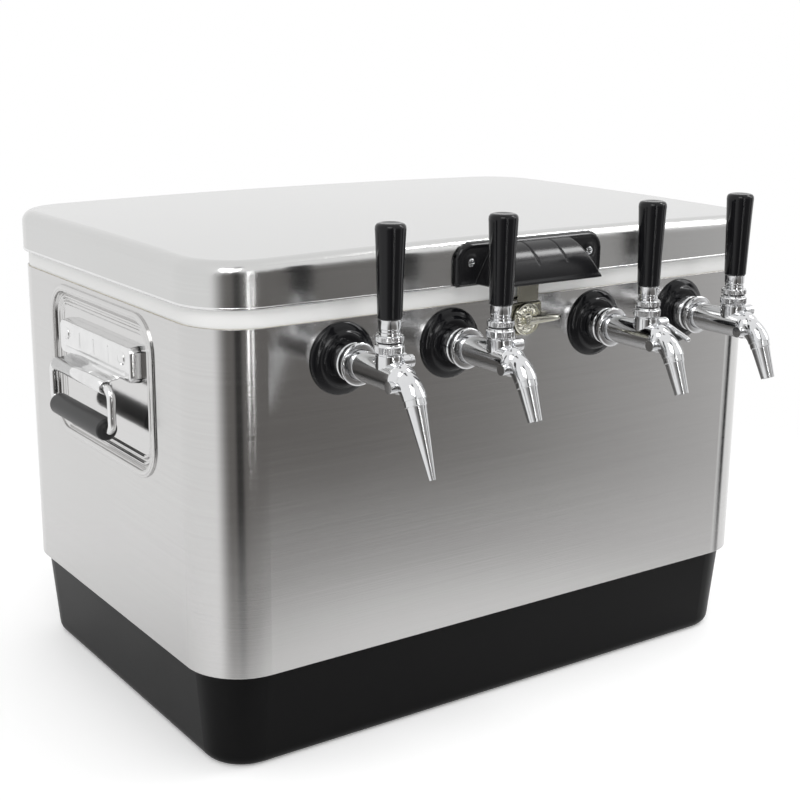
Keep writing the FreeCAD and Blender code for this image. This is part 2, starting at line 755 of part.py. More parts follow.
def lid_holes():
    """Screw holes of the lid's hinges and handle."""
    holes = []
    for x, z in lid_screws:
        start = (x, lid_back + hinge_sheet, z)
        holes.append(rod(screw_shank + running_gap, screw_depth + seat_gap, start, FRONT))
    for x in (-grab_screw, grab_screw):
        start = (x, lid_front - grab_sheet, grab_screw_height)
        holes.append(rod(screw_shank + running_gap, screw_depth + seat_gap, start, BACK))
    return group(*holes)


def gasket_ring():
    """The seal's ring, open in the middle."""
    length = tub_length + 2 * gasket_margin
    depth = tub_depth + 2 * gasket_margin
    corner = liner_corner + gasket_margin
    wide = 2 * gasket_width
    low = rim_top + seat_gap
    high = low + gasket_height
    return slab([
        add(length + wide, depth + wide, corner + gasket_width, low, high),
        take(length, depth, corner, low, high),
    ])


def lid_liner():
    """White pan that closes the lid and drops into the tub."""
    inset = shell_sheet + seat_gap
    gap = 2 * plug_gap
    wall = 2 * lid_pan
    corner = liner_corner - plug_gap
    pan = slab([
        add(lid_length - 2 * inset, lid_depth - 2 * inset, lid_corner - inset,
            lid_bottom, lid_bottom + lid_pan),
        add(tub_length - gap, tub_depth - gap, corner, rim_top - lid_plug, lid_bottom),
        take(tub_length - gap - wall, tub_depth - gap - wall, corner - lid_pan,
             rim_top - lid_plug + lid_pan, lid_bottom + lid_pan),
    ])
    return cut(pan, gasket_ring())


def body_hinge_leaf(x):
    """Leaf on the shell: a plate with an outer knuckle at each side."""
    half = hinge_width / 2
    middle = hinge_middle / 2 + seat_gap
    top = hinge_z - seat_gap * 2
    plate = box((x - half, back_face, top - hinge_leaf - hinge_knuckle),
                (x + half, back_face + hinge_sheet, top - hinge_knuckle))
    pieces = [plate]
    for low, high in ((x - half, x - middle), (x + middle, x + half)):
        pieces.append(rod(hinge_knuckle, high - low, (low, hinge_y, hinge_z), RIGHT))
        pieces.append(box((low, back_face, top - 2 * hinge_knuckle),
                          (high, hinge_y + hinge_sheet, hinge_z - hinge_pin - 1)))
    bore = rod(hinge_pin + running_gap, hinge_width, (x - half, hinge_y, hinge_z), RIGHT)
    holes = [rod(screw_shank + running_gap, 3 * hinge_sheet, (sx, back_face + 2 * hinge_sheet, sz), FRONT)
             for sx, sz in body_screws if abs(number(sx) - number(x)) < number(half)]
    return cut(fuse(*pieces), bore, *holes)


def lid_hinge_leaf(x):
    """Leaf on the lid with the middle knuckle."""
    half = hinge_width / 2
    middle = hinge_middle / 2
    low = lid_bottom + hinge_knuckle
    plate = box((x - half, lid_back, low), (x + half, lid_back + hinge_sheet, low + hinge_leaf))
    knuckle = rod(hinge_knuckle, 2 * middle, (x - middle, hinge_y, hinge_z), RIGHT)
    web = box((x - middle, lid_back, hinge_z + hinge_pin + 1),
              (x + middle, hinge_y, low + hinge_sheet))
    bore = rod(hinge_pin + running_gap, 3 * middle, (x - 1.5 * middle, hinge_y, hinge_z), RIGHT)
    holes = [rod(screw_shank + running_gap, 3 * hinge_sheet, (sx, lid_back + 2 * hinge_sheet, sz), FRONT)
             for sx, sz in lid_screws if abs(number(sx) - number(x)) < number(half)]
    return cut(fuse(plate, knuckle, web), bore, *holes)


def screw(base, inward, outward):
    """A round-headed screw whose head lies on the surface at base."""
    shank = rod(screw_shank, screw_depth, base, inward)
    head = cone(screw_head, 0.6 * screw_head, head_height, base, outward)
    return fuse(shank, head)


def lid_handle():
    """Black moulded handle: a back plate and a hood open from below."""
    face = lid_depth / 2
    height = grab_high - grab_low
    plate = slab([add(grab_length, height + grab_corner, grab_corner, face, face + grab_sheet,
                      (0, (grab_high + grab_low - grab_corner) / 2))], "XZ_Plane")
    below = box((-grab_length, lid_front - 2 * grab_sheet, grab_low - 2 * grab_corner),
                (grab_length, lid_front + grab_sheet, grab_low))
    plate = cut(plate, below)
    slope = grab_reach - grab_wall
    back = height - hood_back
    front = height - hood_front
    hood = taper(
        (grab_hood + slope, back, grab_wall, face + grab_sheet / 2, (0, hood_low + back / 2)),
        (grab_hood, front, grab_wall, face + grab_reach, (0, hood_low + front / 2)),
        "XZ_Plane")
    drop = 4 * grab_wall
    inner_back = back - grab_wall + drop
    inner_front = front - grab_wall + drop
    cavity = taper(
        (grab_hood + slope - 2 * grab_wall, inner_back, grab_wall / 2, face + grab_sheet,
         (0, hood_low - drop + inner_back / 2)),
        (grab_hood - 2 * grab_wall, inner_front, grab_wall / 2, face + grab_reach - grab_wall,
         (0, hood_low - drop + inner_front / 2)),
        "XZ_Plane")
    half = strike_width / 2 + seat_gap
    pocket = box((-half, lid_front - strike_sheet - seat_gap, grab_low - 1),
                 (half, lid_front, strike_top + seat_gap))
    holes = [rod(screw_shank + running_gap, 2 * grab_sheet, (x, lid_front + 1, grab_screw_height), FRONT)
             for x in (-grab_screw, grab_screw)]
    return cut(fuse(plate, hood), cavity, pocket, *holes)


def latch_plate():
    """Pale base plate of the turn latch."""
    face = body_depth / 2
    plate = slab([add(latch_width, 2 * latch_disc, grab_wall, face, face + latch_sheet,
                      (0, latch_height))], "XZ_Plane")
    hole = rod(latch_hub + running_gap, 3 * latch_sheet,
               (0, front_face + latch_sheet, latch_height), FRONT)
    return cut(plate, hole)


def latch_knob():
    """Turn latch: spindle, disc and thumb-turn, lying level as in use."""
    disc_back = front_face - latch_sheet - seat_gap
    disc_front = disc_back - disc_height
    spindle = rod(latch_hub, latch_hub + latch_sheet + seat_gap,
                  (0, front_face + latch_hub, latch_height), FRONT)
    disc = rod(latch_disc, disc_height, (0, disc_back, latch_height), FRONT)
    half = wing_height / 2
    wing = box((-latch_disc / 2, disc_front - wing_reach, latch_height - half),
               (wing_length - half, disc_front, latch_height + half))
    tip = rod(half, wing_reach, (wing_length - half, disc_front, latch_height), FRONT)
    hub = cone(latch_disc - 3, latch_hub + 1, wing_reach / 2, (0, disc_front, latch_height), FRONT)
    return fuse(spindle, disc, wing, tip, hub)


def latch_strike():
    """Keeper tab that hangs from the lid to just above the latch disc."""
    half = strike_width / 2
    low = latch_height + latch_disc + strike_gap
    return box((-half, lid_front - strike_sheet, low), (half, lid_front, strike_top))


def handle_bracket(side):
    """Pressed plate on an end panel with two barrels for the bail."""
    height = bracket_high - bracket_low
    middle = (0, (bracket_high + bracket_low) / 2)
    wall = 2 * bracket_sheet
    corner = 3 * bracket_sheet
    if side > 0:
        outer = (end_face - panel_depth, end_face + bracket_face)
        inner = (end_face - panel_depth, end_face + bracket_face - bracket_sheet)
    else:
        outer = (-end_face - bracket_face, -end_face + panel_depth)
        inner = (-end_face - bracket_face + bracket_sheet, -end_face + panel_depth)
    pan = slab([
        add(bracket_length, height, corner, *outer, middle),
        take(bracket_length - wall, height - wall, corner - bracket_sheet, *inner, middle),
    ], "YZ_Plane")
    pivot_x = side * (end_face + bail_axis)
    pieces = [pan]
    bores = []
    barrel = bail_bar + running_gap + barrel_wall
    face_x = side * (end_face + bracket_face - bracket_sheet)
    for start in (barrel_out - barrel_length, -barrel_out):
        pieces.append(rod(barrel, barrel_length, (pivot_x, start, bail_height), BACK))
        low_x, high_x = (face_x, pivot_x) if side > 0 else (pivot_x, face_x)
        pieces.append(box((low_x, start, bail_height + bail_bar + 1),
                          (high_x, start + barrel_length, bracket_low + 2 * bracket_sheet)))
        bores.append(rod(bail_bar + running_gap, 3 * barrel_length,
                         (pivot_x, start - barrel_length, bail_height), BACK))
    for y in (-rivet_offset, rivet_offset):
        start = (side * end_face, y, rivet_height)
        turn = RIGHT if side > 0 else LEFT
        bores.append(rod(rivet_shank + running_gap, 4 * bracket_sheet, start, turn))
    return cut(fuse(*pieces), *bores)


def bracket_rivet(side, y):
    """Domed rivet that holds the bracket to its panel."""
    turn = RIGHT if side > 0 else LEFT
    floor = side * (end_face - panel_depth)
    face = side * (end_face + bracket_face)
    shank = rod(rivet_shank, panel_depth + bracket_face, (floor, y, rivet_height), turn)
    head = cone(rivet_head, 0.5 * rivet_head, 0.4 * rivet_head, (face, y, rivet_height), turn)
    return fuse(shank, head)


def bail(side):
    """Round bar from barrel to barrel, hanging straight down."""
    x = number(side * (end_face + bail_axis))
    top = number(bail_height)
    low = top - number(bail_drop)
    arm = number(bail_span)
    bend = number(bail_bend)
    inner = number(barrel_out - barrel_length) + 1
    right, left, down, up = Vector(0, 1, 0), Vector(0, -1, 0), Vector(0, 0, -1), Vector(0, 0, 1)
    stations = [
        (Vector(x, inner, top), right),
        (Vector(x, arm - bend, top), right),
        (Vector(x, arm, top - bend), down),
        (Vector(x, arm, low + bend), down),
        (Vector(x, arm - bend, low), left),
        (Vector(x, bend - arm, low), left),
        (Vector(x, -arm, low + bend), up),
        (Vector(x, -arm, top - bend), up),
        (Vector(x, bend - arm, top), right),
        (Vector(x, -inner, top), right),
    ]
    path, shape = tube_along(stations, number(bail_bar))
    bar = fresh("Part::Feature", "Bail")
    bar.Shape = shape
    report_tube("bail", path, shape, number(bail_bar))
    return bar


def grip(side):
    """Black sleeve on the bail."""
    base = (side * (end_face + bail_axis), -grip_length / 2, bail_height - bail_drop)
    sleeve = rod(grip_radius, grip_length, base, BACK)
    bore = rod(bail_bar + running_gap, grip_length, base, BACK)
    half = number(grip_length) / 2 - 0.01
    blend = rounded(sleeve, grip_radius / 4, lambda edge: abs(edge.YMin) > half and abs(edge.YMax) > half
                    and edge.YLength < 0.01)
    return cut(blend, bore)


def report_tube(name, path, shape, radius):
    """Print how well a tube's volume matches its section times its length."""
    wanted = math.pi * radius * radius * path.Length
    print(f"{name}: length {path.Length:.1f} mm, volume over section x length {shape.Volume / wanted:.4f}")


def shank_flange(x):
    """Black two-step flange round a shank."""
    hole = shank_radius + seat_gap
    top = flange_height
    return lathe([
        (hole, 0), (flange_radius, 0), (flange_radius, top * 0.25),
        (flange_radius - 2.5, top * 0.6), (flange_radius - 7, top * 0.72),
        (flange_radius - 9, top * 0.95), (flange_radius - 11, top), (hole, top),
    ], (x, front_face, tap_height), FRONT)


def shank(x):
    """Threaded shank through the wall, with a head that the coupling nut pulls on."""
    length = shank_face * -1 + shank_end
    head = shank_radius + head_step
    neck = length - head_length
    socket = shank_bore + running_gap
    bore = shank_bore - bore_step
    return lathe([
        (socket, 0), (shank_radius, 0), (shank_radius, neck), (head, neck), (head, length),
        (bore, length), (bore, tail_length), (socket, tail_length),
    ], (x, shank_end, tap_height), FRONT)


def coupling_nut(x):
    """Round nut that draws the faucet onto the shank."""
    base = front_face - flange_height - seat_gap
    length = nut_length
    neck = shank_radius + seat_gap
    room = barrel_radius + collar_step + seat_gap
    lip = barrel_radius + seat_gap
    rim = length - rim_length
    step = base - shank_face - head_length - 2 * seat_gap
    return lathe([
        (neck, 0), (nut_radius, 0), (nut_radius, rim - rim_slope), (nut_rim, rim),
        (nut_rim, length), (lip, length), (lip, rim), (room, rim),
        (room, step), (neck, step),
    ], (x, base, tap_height), FRONT)


def shank_locknut(x):
    """Hexagon nut on the shank inside the tub."""
    nut = hexagon(locknut_flat, locknut_height, (x, tub_front, tap_height), BACK)
    hole = rod(shank_radius + seat_gap, locknut_height, (x, tub_front, tap_height), BACK)
    return cut(nut, hole)


def tail_nut_at(x):
    """Nut that holds the coil's end to the shank."""
    nut = hexagon(tail_nut, tail_length, (x, shank_end, tap_height), BACK)
    hole = rod(shank_bore + running_gap, tail_length, (x, shank_end, tap_height), BACK)
    return cut(nut, hole)


def faucet_body(x):
    """Barrel, lever column and elbow of one faucet, with the bores inside."""
    rear = shank_face - seat_gap
    elbow_y = front_face - elbow_reach
    collar_length = front_face - flange_height - seat_gap - nut_length + rim_length - rear
    collar = rod(barrel_radius + collar_step, -collar_length - running_gap, (x, rear, tap_height), FRONT)
    barrel = rod(barrel_radius, rear - elbow_y, (x, rear, tap_height), FRONT)
    nose = ball(barrel_radius, (x, elbow_y, tap_height))
    column = rod(column_radius, column_height, (x, column_y, tap_height))
    control_y = front_face - control_reach
    control_z = tap_height + control_height
    boss = rod(control_boss, control_face / 2, (x + control_face / 2, control_y, control_z), RIGHT)
    plug = rod(plug_radius, plug_radius * 2, (x - plug_radius, front_face - plug_reach,
                                              tap_height - plug_drop), LEFT)
    outside = fuse(collar, barrel, nose, column, boss, plug, elbow_pipe(x, elbow_radius))
    chamber_length = rear - front_face + chamber_reach
    chamber = rod(chamber_radius, chamber_length, (x, rear, tap_height), FRONT)
    seat_z = ball_height - ball_rest
    well = rod(chamber_radius, seat_z, (x, column_y, tap_height))
    ledge = rod(ball_seat, column_height, (x, column_y, tap_height))
    socket_z = seat_z + seat_height
    socket = rod(ball_radius + running_gap, column_height - socket_z,
                 (x, column_y, tap_height + socket_z))
    spindle = rod(control_pin + running_gap, control_pin_length,
                  (x + control_face - control_pin_length, control_y, control_z), RIGHT)
    return cut(outside, chamber, well, ledge, socket, spindle, elbow_pipe(x, elbow_bore))


def elbow_pipe(x, radius):
    """A round bar bent from the barrel's axis down to the spout's axis."""
    bend = fresh("Part::Torus", "Elbow")
    bind(bend, "Radius1", elbow_bend)
    bind(bend, "Radius2", radius)
    bind(bend, "Angle3", 90 - spout_tilt, " * 1 deg")
    turn = Rotation(Vector(0, 0, 1), Vector(0, -1, 0), Vector(1, 0, 0), "XYZ")
    return place(bend, (x, front_face - elbow_reach, tap_height - elbow_bend), turn)


def spout(x, length, tip):
    """Tapered spout screwed to the elbow, tilted forward of straight down."""
    y = front_face - elbow_reach - elbow_bend * cos_of(spout_tilt)
    z = tap_height - elbow_bend * (1 - sin_of(spout_tilt))
    piece = lathe([
        (elbow_bore, 0), (spout_collar, 0), (spout_collar, collar_height),
        (spout_collar - 0.7, collar_height + 0.7), (tip, length), (tip - spout_wall, length),
    ], (x, y, z))
    piece.Placement = FreeCAD.Placement(piece.Placement.Base, Rotation(Vector(1, 0, 0), 180))
    bind(piece, "Placement.Rotation.Angle", 180 - spout_tilt, " * 1 deg")
    return piece


def bonnet(x):
    """Knurled ring that holds the lever's ball down in the column."""
    socket = ball_radius + running_gap
    ball_up = ball_height - column_height
    lip = ball_up + bonnet_lip
    return lathe([
        (socket, 0), (bonnet_radius, 0), (bonnet_radius, bonnet_height - bonnet_edge),
        (bonnet_radius - bonnet_edge, bonnet_height), (mouth_radius, bonnet_height),
        (socket - 0.6, lip), (socket, lip - 1.5),
    ], (x, column_y, tap_height + column_height))


def tap_lever(x):
    """Lever with its pivot ball, the arm into the shuttle, a collar and a threaded top."""
    pivot = ball(ball_radius, (x, column_y, ball_z))
    arm = rod(arm_radius, ball_height, (x, column_y, tap_height))
    tip = ball(arm_tip, (x, column_y, tap_height))
    top = neck_top + thread_length
    stem = rod(stem_radius, neck_top, (x, column_y, ball_z))
    collar = rod(lever_collar, collar_top - ball_radius, (x, column_y, ball_z + ball_radius))
    shoulder = rod(ferrule_radius, neck_top - ball_radius, (x, column_y, ball_z + ball_radius))
    dome = ball(dome_radius, (x, column_y, ball_z))
    cap = cut(fuse(collar, shoulder), dome)
    thread = rod(thread_radius, top - neck_top, (x, column_y, ball_z + neck_top))
    return fuse(pivot, arm, tip, stem, cap, thread)


def handle_ferrule(x):
    """Chrome ferrule under the handle."""
    base = (x, column_y, ball_z + neck_top)
    outside = cone(ferrule_radius, ferrule_top, ferrule_height, base)
    return cut(outside, rod(thread_radius + running_gap, ferrule_height, base))


def tap_handle(x):
    """Black tapered handle with a blind thread and a rounded top."""
    base_z = ball_z + neck_top + ferrule_height
    blank = cone(handle_bottom, handle_top, handle_height, (x, column_y, base_z))
    top = number(base_z + handle_height) - 0.01
    blank = rounded(blank, handle_edge, lambda edge: edge.ZMin > top)
    depth = thread_length - ferrule_height + seat_gap
    return cut(blank, rod(thread_radius + running_gap, depth, (x, column_y, base_z)))


def valve_shuttle(x):
    """Sliding valve with a cross slot for the lever's ball end and two beer flats."""
    front = front_face - chamber_reach + seat_gap
    length = shuttle_length
    piston = rod(chamber_radius - running_gap, length, (x, front, tap_height), BACK)
    half = arm_tip + slot_gap
    slot = box((x - half, column_y - half, tap_height - half),
               (x + half, column_y + half, tap_height + chamber_radius))
    relief = box((x - half, column_y - half - slot_lean, tap_height + arm_tip),
                 (x + half, column_y + half, tap_height + chamber_radius))
    flats = []
    flat = chamber_radius - flat_depth
    for low, high in ((x - chamber_radius, x - flat), (x + flat, x + chamber_radius)):
        flats.append(box((low, front + flat_land, tap_height - chamber_radius),
                         (high, front + length, tap_height + chamber_radius)))
    return cut(piston, slot, relief, *flats)


def flow_lever(x, rest):
    """Side lever of the flow control: spindle, hub and rod at its rest angle about +X."""
    y = front_face - control_reach
    z = tap_height + control_height
    hub_x = x + control_face + seat_gap
    inner = x + control_face - control_pin_length + seat_gap
    spindle = rod(control_pin, hub_x - inner, (inner, y, z), RIGHT)
    hub = rod(control_boss, 1.5 * control_rod, (hub_x, y, z), RIGHT)
    centre = (hub_x + control_rod, y, z)
    bar = rod(control_rod, control_length, centre, Rotation(Vector(1, 0, 0), rest))
    end = ball(control_rod, (hub_x + control_rod,
                             y - control_length * math.sin(math.radians(rest)),
                             z + control_length * math.cos(math.radians(rest))))
    return fuse(spindle, hub, bar, end)


def cooling_coil(index):
    """One stainless coil: from the shank down through its turns and up to the rear inlet."""
    side = -1 if index < 2 else 1
    centre = number(coil_places[index])
    radius = number(coil_radius)
    wire = number(shank_bore)
    rise = number(coil_rise)
    turns = int(number(coil_turns))
    tap_x = number(tap_places[index])
    tap_z = number(tap_height)
    back = number(coil_back)
    riser_y = number(coil_riser)
    bend = number(coil_bend)
    edge_x = centre + side * radius
    low = number(tub_floor) + wire + number(seat_gap) + 1
    high = low + turns * rise
    slope = math.atan2(rise, 2 * math.pi * radius)
    up, back_way = Vector(0, 0, 1), Vector(0, 1, 0)
    start_y = number(shank_end) - number(tail_length) + number(seat_gap)
    stations = [
        (Vector(tap_x, start_y, tap_z), back_way),
        (Vector(tap_x, number(shank_end + tail_length) + 2 * wire, tap_z), back_way),
    ]
    for half_turn in range(2 * turns + 1):
        angle = half_turn * math.pi
        spot = Vector(centre + side * radius * math.cos(angle), back + radius * math.sin(angle),
                      high - rise * half_turn / 2)
        heading = Vector(-side * math.sin(angle) * math.cos(slope),
                         math.cos(angle) * math.cos(slope), -math.sin(slope))
        stations.append((spot, heading))
    inlet_z = number(inlet_height)
    floor_bend = 1.5 * bend
    stations += [
        (Vector(edge_x, riser_y - floor_bend, low - 0.7), back_way),
        (Vector(edge_x, riser_y, low - 0.7 + floor_bend), up),
        (Vector(edge_x, riser_y, low + 2 * floor_bend), up),
        (Vector(centre, riser_y, inlet_z - 1.5 * bend), up),
        (Vector(centre, riser_y, inlet_z - bend), up),
        (Vector(centre, riser_y + bend, inlet_z), back_way),
        (Vector(centre, number(tub_back - inlet_reach + tail_length), inlet_z), back_way),
    ]
    path, shape = tube_along(stations, wire)
    report_tube(f"coil {index + 1}", path, shape, wire)
    report_gap(f"coil {index + 1}", path, wire)
    piece = fresh("Part::Feature", "Coil")
    piece.Shape = shape
    return piece


def report_gap(name, path, radius):
    """Print the least gap of a tube to itself, from points along its centre line."""
    step = radius
    points = path.discretize(Distance=step)
    apart = int(math.pi * 2 * radius / step) + 2
    least = 1e9
    for first in range(len(points)):
        for second in range(first + apart, len(points)):
            least = min(least, points[first].distanceToPoint(points[second]))
    print(f"{name}: least gap to itself {least - 2 * radius:.2f} mm")


def inlet_fitting(x):
    """Rear bulkhead: socket for the coil, flange on the shell and a flare thread outside."""
    length = back_face - tub_back + inlet_reach
    socket = shank_bore + running_gap
    bore = shank_bore * 0.7
    end = length + inlet_flange / 2 + inlet_length
    flange = length + inlet_flange / 2 - 1.5
    return lathe([
        (socket, 0), (inlet_body, 0), (inlet_body, length), (inlet_flange, length),
        (inlet_flange, flange - 1.5), (inlet_body, flange), (inlet_thread, flange + 1.5),
        (inlet_thread, end), (bore, end), (bore, tail_length), (socket, tail_length),
    ], (x, tub_back - inlet_reach, inlet_height), BACK)


def inlet_nut(x):
    """Hexagon nut on an inlet inside the tub."""
    base = (x, tub_back, inlet_height)
    nut = hexagon(inlet_flange * 0.9, locknut_height, base, FRONT)
    return cut(nut, rod(inlet_body + seat_gap, locknut_height, base, FRONT))


def drain_fitting():
    """Drain pipe low in the right end, with a flange and a threaded spigot."""
    inner = tub_length / 2 - 3
    start = 3
    face = drain_face - inner
    lip = drain_radius + 2
    end = face + 3 + drain_reach
    return lathe([
        (drain_bore, 0), (lip, 0), (lip, start), (drain_radius, start), (drain_radius, face),
        (drain_flange, face), (drain_flange, face + 3), (drain_radius, face + 3),
        (drain_radius, end), (drain_bore, end),
    ], (inner, 0, drain_height), RIGHT)


def drain_cap():
    """Screw cap on the drain spigot."""
    inside = drain_radius + running_gap
    depth = drain_reach
    return lathe([
        (inside, 0), (cap_radius, 0), (cap_radius, depth + cap_wall), (0, depth + cap_wall),
        (0, depth), (inside, depth),
    ], (drain_face + 3 + seat_gap, 0, drain_height), RIGHT)


def build_cooler():
    holes = wall_holes()
    panels = [end_panel(-1), end_panel(1)]
    subpart("base_tub", base_tub())
    subpart("steel_shell", steel_shell(panels, holes))
    subpart("inner_liner", inner_liner(holes))
    subpart("insulation_foam", insulation_foam(panels, holes))
    subpart("handle_brackets", group(handle_bracket(-1), handle_bracket(1)))
    subpart("bracket_rivets", group(*[bracket_rivet(side, y) for side in (-1, 1)
                                      for y in (-rivet_offset, rivet_offset)]))
    for side, name in ((-1, "left"), (1, "right")):
        subpart(f"bail_{name}", bail(side))
        subpart(f"bail_grip_{name}", grip(side))
    subpart("drain_fitting", drain_fitting())
    subpart("drain_cap", drain_cap())


def build_lid():
    holes = lid_holes()
    outside = lid_form(Size(0, "0"), lid_bottom, lid_edge)
    inside = lid_form(shell_sheet, lid_bottom - 1, lid_edge - shell_sheet)
    inset = shell_sheet + seat_gap
    filling = lid_form(inset, lid_bottom + lid_pan, lid_edge - inset)
    subpart("lid_skin", cut(outside, inside, holes))
    subpart("lid_foam", cut(filling, holes))
    subpart("lid_liner", lid_liner())
    subpart("lid_gasket", gasket_ring())
    subpart("lid_handle", lid_handle())
    handle_face = lid_front - grab_sheet
    subpart("lid_handle_screws", group(*[
        screw((x, handle_face, grab_screw_height), BACK, FRONT) for x in (-grab_screw, grab_screw)]))
    subpart("latch_plate", latch_plate())
    subpart("latch_knob", latch_knob())
    subpart("latch_strike", latch_strike())


def build_hinges():
    subpart("body_hinge_leaves", group(*[body_hinge_leaf(x) for x in hinge_places]))
    subpart("lid_hinge_leaves", group(*[lid_hinge_leaf(x) for x in hinge_places]))
    subpart("hinge_pins", group(*[
        rod(hinge_pin, hinge_width, (x - hinge_width / 2, hinge_y, hinge_z), RIGHT)
        for x in hinge_places]))
    subpart("body_hinge_screws", group(*[
        screw((x, back_face + hinge_sheet, z), FRONT, BACK) for x, z in body_screws]))
    subpart("lid_hinge_screws", group(*[
        screw((x, lid_back + hinge_sheet, z), FRONT, BACK) for x, z in lid_screws]))


def build_taps():
    rest_angles = [CONTROL_BACK, CONTROL_BACK, CONTROL_FORWARD, CONTROL_BACK]
    spouts = []
    for index, x in enumerate(tap_places):
        number_text = index + 1
        subpart(f"faucet_body_{number_text}", faucet_body(x))
        subpart(f"tap_lever_{number_text}", tap_lever(x))
        subpart(f"handle_ferrule_{number_text}", handle_ferrule(x))
        subpart(f"tap_handle_{number_text}", tap_handle(x))
        subpart(f"valve_shuttle_{number_text}", valve_shuttle(x))
        subpart(f"flow_lever_{number_text}", flow_lever(x, rest_angles[index]))
        long_one = index == 0
        spouts.append(spout(x, stout_length if long_one else spout_length,
                            stout_tip if long_one else spout_tip))
    subpart("spouts", group(*spouts))
    subpart("bonnets", group(*[bonnet(x) for x in tap_places]))
    subpart("coupling_nuts", group(*[coupling_nut(x) for x in tap_places]))
    subpart("shanks", group(*[shank(x) for x in tap_places]))
    subpart("shank_flanges", group(*[shank_flange(x) for x in tap_places]))
    subpart("shank_locknuts", group(*[shank_locknut(x) for x in tap_places]))


def build_cooling():
    subpart("cooling_coils", group(*[cooling_coil(index) for index in range(4)]))
    subpart("coil_tail_nuts", group(*[tail_nut_at(x) for x in tap_places]))
    subpart("inlet_fittings", group(*[inlet_fitting(x) for x in coil_places]))
    subpart("inlet_nuts", group(*[inlet_nut(x) for x in coil_places]))


build_cooler()
build_lid()
build_hinges()
build_taps()
build_cooling()
doc.recompute()

for thing in doc.Objects:
    if "Invalid" in thing.State or "Error" in thing.State:
        raise RuntimeError(f"{thing.Name} {thing.Label} is {thing.State}")
for thing in subparts:
    if thing.Shape.isNull() or not thing.Shape.isValid() or not thing.Shape.Solids:
        raise RuntimeError(f"{thing.Label} has no valid solid")

os.makedirs("parts", exist_ok=True)
for thing in subparts:
    thing.Shape.exportStep(f"parts/{thing.Label}.step")
print(f"{len(subparts)} sub-parts, {sum(len(thing.Shape.Solids) for thing in subparts)} solids")
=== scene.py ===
# %% [markdown]
# # A jockey box beer cooler
# A jockey box is an insulated cooler with taps in its front. Beer runs through
# steel coils that lie in ice, and leaves cold. This lesson dresses a finished
# frame of exact parts: it adds a camera, a small studio, metal and plastic
# finishes, and the fine pieces that give the object its character.
# Places are in metres, outlines are in millimetres and are brought to metres by
# MM, and the frame's own boxes say where things go.

# %% Load the frame
import json
import math

import bmesh
import bpy
from mathutils import Matrix, Vector


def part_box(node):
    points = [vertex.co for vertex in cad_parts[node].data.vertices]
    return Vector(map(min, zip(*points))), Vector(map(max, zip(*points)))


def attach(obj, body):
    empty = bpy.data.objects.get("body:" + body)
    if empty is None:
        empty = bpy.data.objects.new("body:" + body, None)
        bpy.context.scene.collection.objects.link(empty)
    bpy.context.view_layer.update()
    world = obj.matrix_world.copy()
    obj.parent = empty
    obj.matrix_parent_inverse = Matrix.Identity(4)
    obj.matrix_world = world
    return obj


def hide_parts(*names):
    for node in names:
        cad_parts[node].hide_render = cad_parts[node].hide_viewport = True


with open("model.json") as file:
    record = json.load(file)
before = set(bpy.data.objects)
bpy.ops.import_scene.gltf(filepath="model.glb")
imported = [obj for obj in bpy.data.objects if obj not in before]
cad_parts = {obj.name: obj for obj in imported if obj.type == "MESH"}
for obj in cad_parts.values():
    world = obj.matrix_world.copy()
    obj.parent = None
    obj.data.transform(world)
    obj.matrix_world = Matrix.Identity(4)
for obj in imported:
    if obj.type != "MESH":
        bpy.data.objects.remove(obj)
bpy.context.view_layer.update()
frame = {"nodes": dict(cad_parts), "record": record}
MM = 0.001

# %% [markdown]
# ## The camera
# The picture was taken from the front left, a little above the lid, with a
# short telephoto lens. A camera can be aimed at a point with a constraint, but
# a view that was fitted to the object's edges is known as a spot and the three
# directions of the frame, right, up and backwards, so those are used here.

# %% Set up the camera
CAMERA_SPOT = (-0.7733, -1.1271, 0.5941)
CAMERA_RIGHT = Vector((0.8217, -0.5698, 0.0102)).normalized()
CAMERA_UP = Vector((0.1370, 0.2148, 0.9670)).normalized()
FOCAL_LENGTH = 64.67

lens = bpy.data.cameras.new("studio_camera")
lens.sensor_fit = "HORIZONTAL"
lens.sensor_width = 36
lens.lens = FOCAL_LENGTH
lens.clip_start = 0.05
camera = bpy.data.objects.new("studio_camera", lens)
turn = Matrix((CAMERA_RIGHT, CAMERA_UP, CAMERA_RIGHT.cross(CAMERA_UP))).transposed()
camera.matrix_world = Matrix.Translation(CAMERA_SPOT) @ turn.to_4x4()
bpy.context.scene.collection.objects.link(camera)
bpy.context.scene.camera = camera
bpy.context.scene.view_settings.view_transform = "Standard"
print("the camera stands", round(camera.location.length, 2), "m from the middle")

# %% [markdown]
# ## Writing shaders as sums
# A finish is a small graph of nodes. Adding each node by hand is slow to read,
# so a Wire holds one output and knows how to add, subtract and multiply. The
# Finish class makes any other node from its type, settings and inputs.

# %% Wires and finishes
class Wire:
    """One output of a node graph; its operators add Math nodes."""

    def __init__(self, finish, socket):
        self.finish = finish
        self.socket = socket

    def math(self, operation, first, second=0.0):
        return self.finish.node("ShaderNodeMath", {"operation": operation}, {0: first, 1: second})

    def __add__(self, other):
        return self.math("ADD", self, other)

    def __radd__(self, other):
        return self.math("ADD", other, self)

    def __sub__(self, other):
        return self.math("SUBTRACT", self, other)

    def __rsub__(self, other):
        return self.math("SUBTRACT", other, self)

    def __mul__(self, other):
        return self.math("MULTIPLY", self, other)

    def __abs__(self):
        return self.math("ABSOLUTE", self)

    def rise(self, start, end):
        """0 below start, 1 above end, smooth in between."""
        settings = {"interpolation_type": "SMOOTHSTEP"}
        return self.finish.node("ShaderNodeMapRange", settings,
                                {"Value": self, "From Min": start, "From Max": end})


